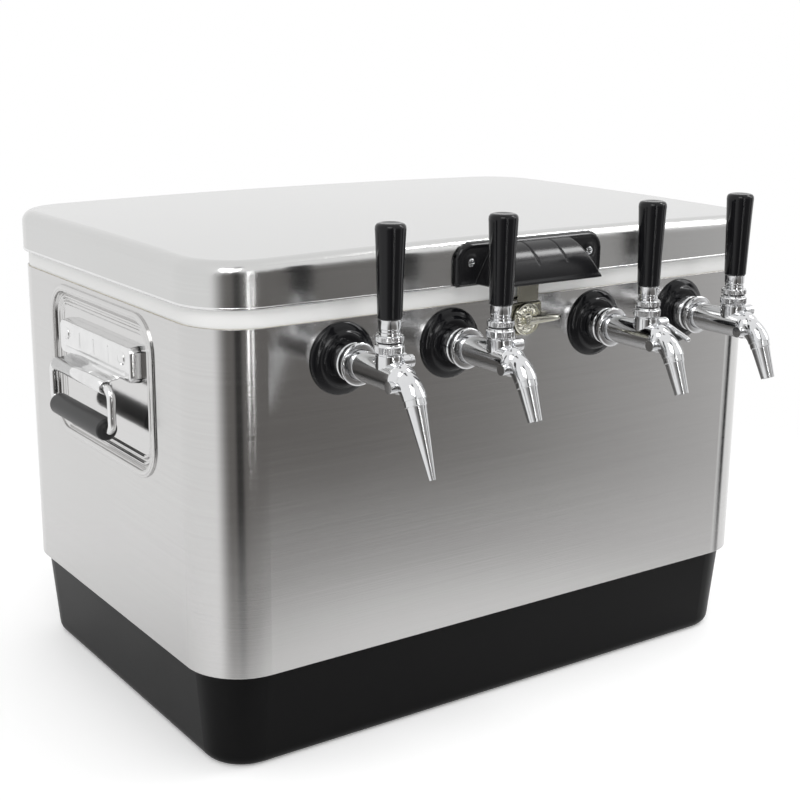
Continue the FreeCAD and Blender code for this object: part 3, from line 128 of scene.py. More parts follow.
class Finish:
    """A material or a world: its node tree, and helpers to fill it."""

    def __init__(self, owner):
        owner.use_nodes = True
        self.owner = owner
        self.tree = owner.node_tree
        self.shader = self.tree.nodes.get("Principled BSDF") or self.tree.nodes.get("Background")

    def node(self, kind, settings=None, inputs=None, output=0):
        made = self.tree.nodes.new(kind)
        for name, value in (settings or {}).items():
            setattr(made, name, value)
        for name, value in (inputs or {}).items():
            self.feed(made.inputs[name], value)
        return Wire(self, made.outputs[output])

    def feed(self, socket, value):
        if isinstance(value, Wire):
            self.tree.links.new(value.socket, socket)
        else:
            socket.default_value = value

    def set(self, **values):
        """Sockets of the main shader, with _ for each space in a name."""
        for name, value in values.items():
            self.feed(self.shader.inputs[name.replace("_", " ")], value)
        return self

    def spot(self, scale=(1, 1, 1), turned=(0, 0, 0)):
        """The point on the piece, in metres times scale."""
        point = self.node("ShaderNodeTexCoord", output="Object")
        return self.node("ShaderNodeMapping", None,
                         {"Vector": point, "Scale": scale, "Rotation": turned})

    def grain(self, scale, detail, turned=(0, 0, 0)):
        """Noise from 0 to 1, stretched by its three scales."""
        return self.node("ShaderNodeTexNoise", None,
                         {"Vector": self.spot(scale, turned), "Scale": 1.0, "Detail": detail,
                          "Roughness": 0.55}, output="Fac")

    def blend(self, share, first, second):
        """A mix of two colours."""
        mix = self.tree.nodes.new("ShaderNodeMix")
        mix.data_type = "RGBA"
        self.feed(mix.inputs[0], share)
        self.feed(mix.inputs[6], first if isinstance(first, Wire) else (*first, 1.0))
        self.feed(mix.inputs[7], second if isinstance(second, Wire) else (*second, 1.0))
        return Wire(self, mix.outputs[2])

    def relief(self, height, depth, strength, edge):
        """Bump from a height, over softly rounded edges where edge is given."""
        inputs = {"Height": height, "Distance": depth, "Strength": strength}
        if edge:
            inputs["Normal"] = self.node("ShaderNodeBevel", {"samples": 4}, {"Radius": edge})
        self.set(Normal=self.node("ShaderNodeBump", None, inputs))
        return self


def material(name):
    return Finish(bpy.data.materials.new(name))


# %% [markdown]
# ## The studio
# Polished metal is only as good as what it reflects. The set is white all
# round, and the camera and any clear piece see just that. What the metal
# mirrors is the same white set with one dim patch low in front, like the dark
# half of a studio, and two narrow black flags. A steel front that mirrors only
# white loses its shape, and the flags draw the thin dark lines that make chrome
# look like chrome. The patch is aimed a little to the left, so the steel
# lightens towards its right end. Dull surfaces are lit evenly from all sides,
# so neither darkens the plastics.

# %% Light the world
WHITE, EVEN_GREY = (1.0, 1.0, 1.0), (0.80, 0.80, 0.80)
DIM_GREY, FLAG_BLACK = (0.17, 0.163, 0.157), (0.02, 0.02, 0.02)
FRONT = (-0.10, -0.985, -0.12)

world = bpy.data.worlds.new("studio")
bpy.context.scene.world = world
room = Finish(world)
heading = room.node("ShaderNodeTexCoord", output="Generated")
toward_front = room.node("ShaderNodeVectorMath", {"operation": "DOT_PRODUCT"},
                         {0: heading, 1: FRONT}, output="Value")
height = room.node("ShaderNodeSeparateXYZ", None, {0: heading}, output="Z")
dim = toward_front.rise(0.40, 0.80) * (1 - height.rise(0.08, 0.62))
path = room.tree.nodes.new("ShaderNodeLightPath")
seen = Wire(room, path.outputs["Is Camera Ray"]) + Wire(room, path.outputs["Is Transmission Ray"])
mirrored = Wire(room, path.outputs["Is Glossy Ray"])


def flag(*across):
    """A narrow upright strip in front, where the heading is square to across."""
    offset = room.node("ShaderNodeVectorMath", {"operation": "DOT_PRODUCT"},
                       {0: heading, 1: across}, output="Value")
    return (1 - abs(offset).rise(0.05, 0.17)) * toward_front.rise(0.12, 0.3)


flags = flag(0.90, -0.43, 0.0) * 0.85 + flag(0.42, 0.91, 0.0)
backdrop = room.blend(flags, room.blend(dim, WHITE, DIM_GREY), FLAG_BLACK)
light_on_object = room.blend(mirrored, EVEN_GREY, backdrop)
room.set(Color=room.blend(seen, light_on_object, WHITE), Strength=1.0)
print("the studio takes", len(room.tree.nodes), "nodes")


# %% [markdown]
# Three soft lamps model the object: a broad one high on the left, a weaker one
# on the right, and a small one high on the right, which draws the bright band
# along the black handle. Two tall thin tubes to the right of the camera draw
# the pair of bright upright lines on the rounded corner of the steel.

# %% Hang the lamps
def softbox(name, spot, aim, width, height, watts):
    lamp = bpy.data.lights.new(name, "AREA")
    lamp.shape = "RECTANGLE"
    lamp.size, lamp.size_y, lamp.energy = width, height, watts
    holder = bpy.data.objects.new(name, lamp)
    holder.location = spot
    holder.rotation_euler = (Vector(aim) - Vector(spot)).to_track_quat("-Z", "Y").to_euler()
    bpy.context.scene.collection.objects.link(holder)


BODY_MIDDLE = (0, 0, 0.25)
FRONT_CORNER = (-0.28, -0.19, 0.25)
softbox("key_light", (-1.7, -2.0, 2.7), BODY_MIDDLE, 1.6, 1.6, 28)
softbox("fill_light", (2.6, -1.4, 1.9), BODY_MIDDLE, 1.0, 1.4, 14)
softbox("band_light", (1.94, -0.70, 2.65), BODY_MIDDLE, 0.6, 0.6, 14)
softbox("edge_light_1", (-0.61, -3.1, 0.7), FRONT_CORNER, 0.06, 2.4, 4.2)
softbox("edge_light_2", (-0.20, -3.1, 0.7), FRONT_CORNER, 0.04, 2.4, 2.6)

# %% [markdown]
# The floor is a pale sheet. It fades out in two steps, a quick one close to the
# cooler and a slow one further off, so that it has no visible edge and the
# foot of the steel mirrors pale floor and the rest the dim room. A faint glow
# that only the camera sees lifts it to the white of the backdrop, and leaves
# the shadow under the cooler.

# %% Lay the floor
FLOOR_REACH = 3.0
QUICK_SHARE = 0.62
CAMERA_GLOW = (0.22, 0.22, 0.22)

floor_mesh = bmesh.new()
bmesh.ops.create_grid(floor_mesh, x_segments=1, y_segments=1, size=FLOOR_REACH)
floor_data = bpy.data.meshes.new("floor")
floor_mesh.to_mesh(floor_data)
floor = bpy.data.objects.new("floor", floor_data)
bpy.context.scene.collection.objects.link(floor)
paper = material("pale_floor")
away = paper.node("ShaderNodeVectorMath", {"operation": "LENGTH"}, {0: paper.spot()},
                  output="Value")
looked_at = paper.node("ShaderNodeLightPath", output="Is Camera Ray")
faded = away.rise(0.30, 0.60) * QUICK_SHARE + away.rise(0.40, 1.0) * (1 - QUICK_SHARE)
paper.set(Base_Color=(0.95, 0.95, 0.95, 1), Roughness=0.7, Specular_IOR_Level=0.2,
          Alpha=1 - faded, Emission_Strength=1.0,
          Emission_Color=paper.blend(looked_at, (0, 0, 0), CAMERA_GLOW))
floor.data.materials.append(paper.owner)
print("the floor is", 2 * FLOOR_REACH, "m wide")


# %% [markdown]
# ## Brushed steel
# The body and lid are sheet steel with a straight grain. A photograph of
# brushed steel would do, but noise that is stretched a hundred times along the
# brushing needs no picture and follows any wall: level lines on the sides, and
# lines from end to end on the lid's top. It changes colour, roughness and
# relief together, as a real scratch does. A slow wave adds the slight
# unevenness of thin sheet.

# %% Steel finishes
def brushed(name, colour, shade, roughness, edge=0.0008, wave=0.0):
    steel = material(name)
    facing = steel.node("ShaderNodeNewGeometry", output="Normal")
    facing_up = steel.node("ShaderNodeSeparateXYZ", None, {0: facing}, output="Z")
    flat = abs(facing_up).rise(0.55, 0.85)
    wall_fine = steel.grain((9, 9, 2600), detail=2)
    wall_broad = steel.grain((3, 3, 420), detail=3)
    top_fine = steel.grain((9, 2600, 9), detail=2)
    top_broad = steel.grain((3, 420, 3), detail=3)
    fine = wall_fine + (top_fine - wall_fine) * flat
    broad = wall_broad + (top_broad - wall_broad) * flat
    lines = fine * 0.6 + broad * 0.4
    cloud = steel.grain((5, 5, 5), detail=4)
    steel.set(Base_Color=steel.blend(lines * 0.75 + cloud * 0.25, shade, colour), Metallic=1.0,
              Roughness=roughness + (lines - 0.5) * 0.16 + (cloud - 0.5) * 0.05)
    height = lines * 0.5 + steel.grain((7, 7, 4), detail=1) * wave
    return steel.relief(height, 0.00022, 0.3, edge)


finishes = {
    "brushed_steel": brushed("body_steel", (0.66, 0.655, 0.65), (0.54, 0.535, 0.53),
                             0.13, wave=2),
    "pressed_steel": brushed("pressed_steel", (0.68, 0.675, 0.67), (0.60, 0.595, 0.59),
                             0.07, edge=0.0003, wave=0.6),
    "lid_steel": brushed("lid_steel", (0.67, 0.67, 0.665), (0.56, 0.56, 0.555),
                         0.18, wave=2),
    "hinge_steel": brushed("hinge_steel", (0.62, 0.62, 0.62), (0.48, 0.48, 0.48),
                           0.32, edge=0.0005),
    "stainless_tube": brushed("tube_steel", (0.66, 0.66, 0.66), (0.52, 0.52, 0.51),
                              0.22, edge=0),
}
print("steel finishes:", len(finishes))


# %% [markdown]
# ## Plated and polished metal
# Chrome, nickel and bright zinc are mirrors with small faults: faint haze in
# patches, hairline wiping marks and, on the cast latch, a pebbled skin. A
# perfect mirror looks drawn, so one function adds these faults in the measure
# that each metal has.

# %% Plated finishes
def plated(name, colour, shade, roughness, pebble=0.0, size=900, edge=0.0004):
    metal = material(name)
    haze = metal.grain((60, 60, 60), detail=4)
    wipe = metal.grain((220, 220, 40), detail=2, turned=(0.5, 0.3, 0.2))
    skin = metal.grain((size, size, size), detail=2)
    metal.set(Base_Color=metal.blend(haze, shade, colour), Metallic=1.0,
              Roughness=roughness + (haze - 0.4) * 0.05 + wipe * 0.03)
    return metal.relief(skin * pebble + wipe * 0.12, 0.0001, 0.35, edge)


finishes["chrome"] = plated("chrome", (0.76, 0.76, 0.77), (0.64, 0.65, 0.66), 0.045)
finishes["nickel"] = plated("nickel", (0.40, 0.39, 0.34), (0.26, 0.25, 0.20), 0.2,
                            pebble=1.2, size=700)
finishes["cast_nickel"] = plated("cast_nickel", (0.86, 0.85, 0.76), (0.60, 0.59, 0.50),
                                 0.12, pebble=1.0, size=500)
finishes["bright_steel"] = plated("bright_steel", (0.84, 0.84, 0.84), (0.70, 0.70, 0.70),
                                  0.15, pebble=0.3, size=500, edge=0.0006)
finishes["zinc_screw"] = plated("zinc", (0.78, 0.79, 0.80), (0.62, 0.63, 0.65), 0.18,
                                pebble=0.4)
finishes["brass"] = plated("brass", (0.80, 0.61, 0.29), (0.60, 0.42, 0.18), 0.24,
                           pebble=0.5)
print("metal finishes:", len(finishes))


# %% [markdown]
# ## Plastics and rubber
# The base is moulded with a fine spark texture, the white tub is smoother, and
# the tap handles are glossy like piano keys. Each has soft clouds of shade and
# small rubbed spots, which keep a plain plastic from looking flat.

# %% Moulded finishes
def moulded(name, colour, shade, roughness, texture, depth, edge=0.0006):
    plastic = material(name)
    cloud = plastic.grain((14, 14, 14), detail=4)
    skin = plastic.grain((texture, texture, texture), detail=2)
    rubbed = plastic.grain((160, 160, 160), detail=3).rise(0.62, 0.78)
    plastic.set(Base_Color=plastic.blend(cloud * 0.7 + rubbed * 0.3, shade, colour),
                Roughness=roughness + (cloud - 0.5) * 0.08 + rubbed * 0.04)
    return plastic.relief(skin, depth, 0.6, edge)


finishes["black_base"] = moulded("base_plastic", (0.0028, 0.0028, 0.0030),
                                 (0.0014, 0.0014, 0.0016), 0.33, 1500, 0.00006,
                                 0.0015).set(Specular_IOR_Level=0.11)
finishes["white_liner"] = moulded("white_plastic", (0.86, 0.86, 0.85), (0.80, 0.80, 0.79),
                                  0.32, 600, 0.00003, 0.0008)
finishes["foam"] = moulded("rigid_foam", (0.86, 0.79, 0.58), (0.70, 0.62, 0.42),
                           0.8, 700, 0.0006)
finishes["seal_rubber"] = moulded("seal_rubber", (0.62, 0.62, 0.60), (0.48, 0.48, 0.47),
                                  0.55, 1200, 0.00005)
finishes["black_handle"] = moulded("handle_plastic", (0.011, 0.011, 0.012),
                                   (0.008, 0.008, 0.009), 0.20, 1800, 0.00002,
                                   0.0006).set(Specular_IOR_Level=0.36)
finishes["grip_black"] = moulded("grip_plastic", (0.020, 0.020, 0.021), (0.011, 0.011, 0.012),
                                 0.42, 1400, 0.00007, 0.0008)
finishes["gloss_black"] = moulded("gloss_plastic", (0.008, 0.008, 0.009), (0.005, 0.005, 0.006),
                                  0.09, 300, 0.00001, 0.0007).set(Specular_IOR_Level=0.27)
finishes["drain_plastic"] = moulded("drain_plastic", (0.80, 0.80, 0.79), (0.70, 0.70, 0.69),
                                    0.42, 1000, 0.00005, 0.0006)
print("finishes:", sorted(finishes))

# %% [markdown]
# Every part of the frame names its material slot, so one loop dresses them all.

# %% Dress the frame
for part in frame["record"]["subparts"]:
    mesh = frame["nodes"][part["node"]].data
    mesh.materials.clear()
    mesh.materials.append(finishes[part["material_slot"]].owner)


# %% [markdown]
# ## Tools for new pieces
# Every new piece is closed in the same way: doubled points are joined, and each
# edge that turns more than a limit is marked sharp, while the rest is shaded
# smooth. A Bevel modifier would soften all edges alike. Then the piece is told
# which body it rides on, so that it moves with the lid or a handle.

# %% Closing and placing a piece
def join_edges_smoothly(shape, limit):
    """Smooth shading everywhere but across edges sharper than limit degrees."""
    for face in shape.faces:
        face.smooth = True
    for edge in shape.edges:
        if len(edge.link_faces) == 2 and edge.calc_face_angle() > math.radians(limit):
            edge.smooth = False


def piece(name, shape, body, slot, *replaced, limit=35, finish=None):
    """Turn a bmesh into an object that rides on a body of the frame."""
    bmesh.ops.remove_doubles(shape, verts=shape.verts, dist=1e-6)
    bmesh.ops.recalc_face_normals(shape, faces=shape.faces)
    join_edges_smoothly(shape, limit)
    data = bpy.data.meshes.new(name)
    shape.to_mesh(data)
    shape.free()
    data.materials.append(finishes[finish or slot].owner)
    thing = bpy.data.objects.new(name, data)
    bpy.context.scene.collection.objects.link(thing)
    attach(thing, body)
    if replaced:
        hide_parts(*replaced)
    return thing


# %% [markdown]
# Knobs, nuts and screw heads are turned pieces. Scaled cylinders could be joined,
# but an outline that is spun about its axis gives the whole form at once.

# %% Turning an outline
def spun(shape, outline, base, axis=(0, 0, 1), steps=64):
    """Spin radius and height pairs, in millimetres, and return the new points."""
    frame_turn = Vector(axis).to_track_quat("Z", "Y").to_matrix().to_4x4()
    place = Matrix.Translation(base) @ frame_turn @ Matrix.Scale(MM, 4)
    points = [shape.verts.new((radius, 0, height)) for radius, height in outline]
    edges = [shape.edges.new(pair) for pair in zip(points, points[1:])]
    before = set(shape.verts) - set(points)
    bmesh.ops.spin(shape, geom=points + edges, cent=(0, 0, 0), axis=(0, 0, 1),
                   angle=math.tau, steps=steps, use_merge=True)
    fresh = [v for v in shape.verts if v not in before]
    bmesh.ops.transform(shape, matrix=place, verts=fresh)
    return fresh


# %% [markdown]
# One CAD node can hold several solids, such as all the rivets. A new head has
# to sit where each old one is, so the node's mesh is split into islands by
# walking along its edges.

# %% Finding the solids of a node
def solids_of(node):
    """The lowest and highest corner of each separate solid of a CAD node."""
    shape = bmesh.new()
    shape.from_mesh(frame["nodes"][node].data)
    bmesh.ops.remove_doubles(shape, verts=shape.verts, dist=1e-6)
    waiting, boxes = set(shape.verts), []
    while waiting:
        group, to_visit = set(), [waiting.pop()]
        while to_visit:
            vert = to_visit.pop()
            group.add(vert)
            near = {edge.other_vert(vert) for edge in vert.link_edges} & waiting
            waiting -= near
            to_visit.extend(near)
        boxes.append((Vector([min(v.co[i] for v in group) for i in range(3)]),
                      Vector([max(v.co[i] for v in group) for i in range(3)])))
    shape.free()
    return boxes


# %% [markdown]
# A border or hem is one profile drawn round a rounded rectangle. A curve with a
# bevel could do it, but a spin at each corner and a straight extrusion between
# them gives clean quads and exact corners.

# %% Drawing a profile round a rectangle
def moulding_round(shape, profile, half_width, half_height, corner, steps=14):
    """Draw outward and height pairs, in millimetres, round a rounded rectangle."""
    points = [shape.verts.new((half_width + outward, half_height - corner, height))
              for outward, height in profile]
    edges = [shape.edges.new(pair) for pair in zip(points, points[1:])]
    last = points + edges
    sides = ((-1, 0, 2 * (half_width - corner)), (0, -1, 2 * (half_height - corner)))
    centre = Vector((half_width - corner, half_height - corner, 0))
    for quarter in range(4):
        turned = bmesh.ops.spin(shape, geom=last, cent=centre, axis=(0, 0, 1),
                                angle=math.pi / 2, steps=steps)["geom_last"]
        run = Vector(sides[quarter % 2][:2] + (0,)) * sides[quarter % 2][2]
        run *= -1 if quarter >= 2 else 1
        ends = [item for item in turned if isinstance(item, bmesh.types.BMEdge)]
        drawn = bmesh.ops.extrude_edge_only(shape, edges=ends)["geom"]
        bmesh.ops.translate(shape, vec=run, verts=[
            item for item in drawn if isinstance(item, bmesh.types.BMVert)])
        last = [item for item in drawn if not isinstance(item, bmesh.types.BMFace)]
        centre += run
    bmesh.ops.remove_doubles(shape, verts=shape.verts, dist=1e-3)
    return list(shape.verts)


# %% [markdown]
# ## Tap handles
# Each handle is a tapered black knob with a rounded crown and a bright ferrule
# below it. They could be cylinders that are scaled and bevelled, but a lathe
# makes the real ones, and spinning an outline gives the same exact curves.

# %% Build the tap handles
FOOT_SHARE = 0.80
tap_spots = []
for count in range(1, 5):
    low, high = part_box(f"tap_handle_{count}")
    axis_x, axis_y = (low.x + high.x) / 2, (low.y + high.y) / 2
    tap_spots.append((axis_x, axis_y, low.z))
    tall = (high.z - low.z) / MM
    wide = (high.x - low.x) / 2 / MM
    foot = wide * FOOT_SHARE
    flare = wide - foot
    crown = bmesh.new()
    spun(crown, [(0, 0), (foot - 0.8, 0), (foot, 0.8), (foot + flare * 0.35, tall * 0.4),
                 (foot + flare * 0.72, tall * 0.75), (wide - 0.15, tall - 6.5),
                 (wide, tall - 4.6), (wide - 0.25, tall - 2.4), (wide - 1.3, tall - 0.8),
                 (wide - 3.0, tall - 0.1), (wide - 4.2, tall), (wide - 5.4, tall - 0.35),
                 (0, tall - 0.5)], (axis_x, axis_y, low.z), steps=72)
    piece(f"handle_{count}", crown, f"tap_handle_{count}", "gloss_black",
          f"tap_handle_{count}")
    low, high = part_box(f"handle_ferrule_{count}")
    tall = (high.z - low.z) / MM
    wide = (high.x - low.x) / 2 / MM
    sleeve = bmesh.new()
    spun(sleeve, [(5.0, 0), (wide - 1.3, 0), (wide - 1.0, 0.4), (wide - 1.0, 2.4),
                  (wide - 0.5, 2.9), (wide - 0.35, tall - 1.0), (wide - 0.1, tall - 0.6),
                  (wide - 0.1, tall - 0.1), (5.0, tall)], (axis_x, axis_y, low.z), steps=64)
    piece(f"ferrule_{count}", sleeve, f"tap_handle_{count}", "chrome",
          f"handle_ferrule_{count}")
print("handles stand at x", [round(spot[0] / MM) for spot in tap_spots], "mm")

# %% [markdown]
# The knurled ring on each column screws down over the lever's ball, and the
# thin collar above it turns with the lever. Both carry fine upright teeth. The
# teeth could be an array of small wedges, but pulling every second column of a
# spun ring inwards gives the same look with far fewer faces.

# %% Cutting the teeth
KNURL_STEPS = 112


def knurl(verts, centre, teeth_depth, low, high):
    """Pull every second column of a spun ring inwards between two levels."""
    for vert in verts:
        offset = vert.co - centre
        radius = Vector((offset.x, offset.y)).length
        if low <= vert.co.z <= high and radius > 0:
            column = round(math.atan2(offset.y, offset.x) / math.tau * KNURL_STEPS)
            if column % 2:
                vert.co.x = centre.x + offset.x * (1 - teeth_depth * MM / radius)
                vert.co.y = centre.y + offset.y * (1 - teeth_depth * MM / radius)


# %% [markdown]
# The ring stands still on its column, so all four go in one piece on the cooler.
# A collar swings with its handle, so each is a piece on its own body.

# %% Build the knurled rings
bonnet_low, bonnet_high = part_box("bonnets")
rings = bmesh.new()
tall = (bonnet_high.z - bonnet_low.z) / MM
for axis_x, axis_y, _ in tap_spots:
    base = Vector((axis_x, axis_y, bonnet_low.z))
    new = spun(rings, [(6.6, 0), (10.4, 0), (10.6, 0.5), (10.6, 1.4), (11.4, 1.9),
                       (11.45, 6.6), (10.7, 7.2), (10.5, 7.6), (10.4, tall - 0.5),
                       (9.9, tall), (9.2, tall), (6.6, 4.9)], base, steps=KNURL_STEPS)
    knurl(new, base, 0.45, base.z + 1.6 * MM, base.z + 6.9 * MM)
piece("knurled_bonnets", rings, "cooler", "chrome", "bonnets", limit=25)

COLLAR_BELOW_HANDLE = 16.9
for count, (axis_x, axis_y, handle_z) in enumerate(tap_spots, 1):
    base = Vector((axis_x, axis_y, handle_z - COLLAR_BELOW_HANDLE * MM))
    collar = bmesh.new()
    new = spun(collar, [(10.2, 0.0), (10.75, 0.25), (10.85, 0.8), (10.85, 3.3), (10.5, 4.1),
                        (9.4, 4.6), (8.4, 4.7)], base, steps=KNURL_STEPS)
    knurl(new, base, 0.4, base.z + 0.5 * MM, base.z + 3.6 * MM)
    piece(f"lever_collar_{count}", collar, f"tap_handle_{count}", "chrome", limit=25)
print("knurled rings have", KNURL_STEPS // 2, "teeth")

# %% [markdown]
# ## Wall flanges and coupling nuts
# A glossy two-step flange covers each hole in the steel. The chrome coupling
# nut in front of it has a shallow groove and a polished rim. Both are turned
# on a lathe, so they are spun about the axis that runs through the wall.

# %% Build flanges and nuts
flange_low, flange_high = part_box("shank_flanges")
nut_low, nut_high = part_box("coupling_nuts")
axis_z = (flange_low.z + flange_high.z) / 2
shell_face = flange_high.y
nut_length = (nut_high.y - nut_low.y) / MM
flanges = bmesh.new()
nuts = bmesh.new()
for axis_x, _, _ in tap_spots:
    spun(flanges, [(11.6, 0), (29.4, 0), (29.5, 0.6), (29.3, 1.5), (28.6, 2.3), (27.2, 3.2),
                   (25.4, 4.0), (23.8, 4.5), (22.9, 4.9), (22.3, 5.6), (21.6, 6.4), (20.4, 7.0),
                   (18.9, 7.35), (17.6, 7.45), (11.6, 7.45)],
         (axis_x, shell_face, axis_z), (0, -1, 0), steps=96)
    spun(nuts, [(11.5, 0), (15.0, 0), (15.5, 0.5), (15.5, 9.0), (15.1, 9.5), (14.9, 10.2),
                (15.2, 11.0), (15.5, 11.6), (15.6, nut_length - 4.2), (16.4, nut_length - 3.4),
                (17.0, nut_length - 2.6), (17.0, nut_length - 1.0), (16.4, nut_length - 0.3),
                (15.6, nut_length), (12.4, nut_length), (12.4, nut_length - 2.9),
                (13.1, nut_length - 2.9)],
         (axis_x, nut_high.y, axis_z), (0, -1, 0), steps=96)
piece("wall_flanges", flanges, "cooler", "gloss_black", "shank_flanges")
piece("front_nuts", nuts, "cooler", "chrome", "coupling_nuts")
print("the coupling nuts are", round(nut_length, 1), "mm long")

# %% [markdown]
# ## Pressed sheet
# The end panels and the stamped brackets are thin sheet pushed into shape by a
# press. A fine grid stands for the sheet, and a depth rule says how far the
# press has moved each point of it, so ribs, beads and rounded rims come out of
# one short function. A shape like this is hard to cut but easy to press.

# %% Pressing a grid
def soft_step(value, start, end):
    share = min(max((value - start) / (end - start), 0.0), 1.0)
    return share * share * (3 - 2 * share)


def ridge(value, centre, width):
    """1 on the centre line, 0 from one width away, rounded."""
    share = min(abs(value - centre) / width, 1.0)
    return (1 - share * share) ** 2


def inside_by(across, height, half_width, half_height, corner):
    """How far a point lies inside a rounded rectangle; negative outside."""
    beyond_x = abs(across) - (half_width - corner)
    beyond_z = abs(height) - (half_height - corner)
    outer = math.hypot(max(beyond_x, 0), max(beyond_z, 0))
    return corner - outer - min(max(beyond_x, beyond_z), 0)


def pressed(shape, half_width, half_height, step, depth, keep=None):
    """A grid in millimetres; depth gives each point's height, keep drops faces."""
    new = bmesh.ops.create_grid(shape, x_segments=round(2 * half_width / step),
                                y_segments=round(2 * half_height / step), size=1.0)["verts"]
    for vert in new:
        vert.co.x *= half_width
        vert.co.y *= half_height
        vert.co.z = depth(vert.co.x, vert.co.y)
    if keep:
        cells = {face for vert in new for face in vert.link_faces}
        lost = [face for face in cells if not keep(*face.calc_center_median().xy)]
        bmesh.ops.delete(shape, geom=lost, context="FACES")
    return [vert for vert in new if vert.is_valid]


def stand_on(verts, shape, base, out, across):
    """Move a pressed sheet from its own plane to a wall of the object."""
    out, across = Vector(out), Vector(across)
    turned = Matrix((across, out.cross(across), out)).transposed().to_4x4()
    bmesh.ops.transform(shape, matrix=Matrix.Translation(base) @ turned @ Matrix.Scale(MM, 4),
                        verts=verts)


# %% [markdown]
# ## The lid's hem
# The sheet of the lid is folded under along its lower edge, which leaves a
# thin bright bead all the way round. It could be a bevelled edge of the lid, but
# the lid's mesh stays as it is, so a small half-round profile is drawn round
# the lid's outline.

# %% Draw the hem
HEM_CORNER = 52.5
HEM_RISE = 1.2
lid_low, lid_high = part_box("lid_skin")
hem_profile = [(0.55 * math.cos(a) - 0.2, 1.1 * math.sin(a)) for a in
               [math.radians(step * 22.5 - 90) for step in range(9)]]
hem_profile = [(-0.6, -1.1)] + hem_profile + [(-0.6, 1.1)]
hem = bmesh.new()
moulding_round(hem, hem_profile, lid_high.x / MM - 0.05, lid_high.y / MM - 0.05,
               HEM_CORNER, steps=20)
hem_place = Matrix.Translation((0, 0, lid_low.z + HEM_RISE * MM)) @ Matrix.Scale(MM, 4)
bmesh.ops.transform(hem, matrix=hem_place, verts=hem.verts)
piece("lid_hem", hem, "lid", "lid_steel", limit=70, finish="bright_steel")
print("the hem lies at z", round(lid_low.z / MM + HEM_RISE, 1), "mm")

# %% [markdown]
# ## End panels
# A sunk panel stiffens each end and makes room for the knuckles behind the
# carrying handle. Its border is three soft beads, which the press leaves more
# polished than the brushed wall. The border is one long profile drawn round a
# rounded rectangle, and a flat sheet closes its middle.

# %% Press the end panels
END_X = 0.300
PANEL_MIDDLE = 0.297
PANEL_HALF_WIDTH, PANEL_HALF_HEIGHT, PANEL_CORNER = 100, 63, 25
BORDER = 8


def panel_height(inside):
    """Height of the sheet at a distance inside the panel's edge, in millimetres."""
    wall = -0.35 - 3.5 * soft_step(inside, -0.4, 1.8)
    beads = (2.4 * ridge(inside, -3.0, 3.1) + 2.4 * ridge(inside, 4.8, 2.7)
             + 2.1 * ridge(inside, 10.4, 2.7))
    return wall + beads


panel_profile = [(-inside / 2, panel_height(inside / 2)) for inside in range(-14, 29)]
for side, name in ((-1, "left"), (1, "right")):
    sheet = bmesh.new()
    points = moulding_round(sheet, panel_profile, PANEL_HALF_WIDTH, PANEL_HALF_HEIGHT,
                            PANEL_CORNER)
    inner = [edge for edge in sheet.edges if edge.is_boundary
             and all(abs(v.co.x) < PANEL_HALF_WIDTH - BORDER
                     and abs(v.co.y) < PANEL_HALF_HEIGHT - BORDER for v in edge.verts)]
    bmesh.ops.edgeloop_fill(sheet, edges=inner)
    stand_on(points, sheet, (side * END_X, 0, PANEL_MIDDLE), (side, 0, 0), (0, side, 0))
    piece(f"end_panel_{name}", sheet, "cooler", "brushed_steel", limit=70, finish="pressed_steel")
print("the panel's border has", len(panel_profile), "points in its profile")

# %% [markdown]
# ## Handle brackets
# A bracket is a pressed plate with three short ribs and two domed rivets. Its
# ribs could be cut or sculpted, but the press's depth rule makes them, the rim
# and the groove above the lower edge in one grid.

# %% Press the brackets
BRACKET = (75, 15.5, 7)
BRACKET_MIDDLE = 0.3215
BRACKET_SUNK = 0.0038
RIBS = (-30, 0, 30)


def rounded_rim(inside, rim_height, radius):
    """Height of a rim that rises from the edge as a quarter round."""
    return rim_height * math.sqrt(max(0.0, 1 - (1 - min(max(inside, 0) / radius, 1)) ** 2))


def bracket_depth(across, height):
    """A tall rim, three short ribs pressed in, and a groove above the lower edge."""
    inside = inside_by(across, height, *BRACKET)
    rim = rounded_rim(inside, 9.6, 2.2)
    ribs = sum(ridge(across, rib, 1.5) for rib in RIBS)
    ribs *= soft_step(height, -4.5, -3.0) * (1 - soft_step(height, 8.0, 9.5))
    groove = 1.2 * ridge(height, -8.2, 1.3) * (1 - soft_step(abs(across), 60, 66))
    return rim - 1.9 * ribs - groove


plates = bmesh.new()
for side in (-1, 1):
    points = pressed(plates, *BRACKET[:2], 0.8, bracket_depth,
                     lambda a, h: inside_by(a, h, *BRACKET) > 0)
    stand_on(points, plates, (side * (END_X - BRACKET_SUNK), 0, BRACKET_MIDDLE),
             (side, 0, 0), (0, side, 0))
piece("bracket_plates", plates, "cooler", "bright_steel", "handle_brackets", limit=60)
print("each bracket is", 2 * BRACKET[0], "mm wide")

# %% [markdown]
# The lower edge of a bracket is rolled into a tube that holds the bail's bar,
# like the leaf of a hinge. The press can't make an undercut, so the roll is an
# outline of the sheet, extruded along the bar and made thick by Solidify.

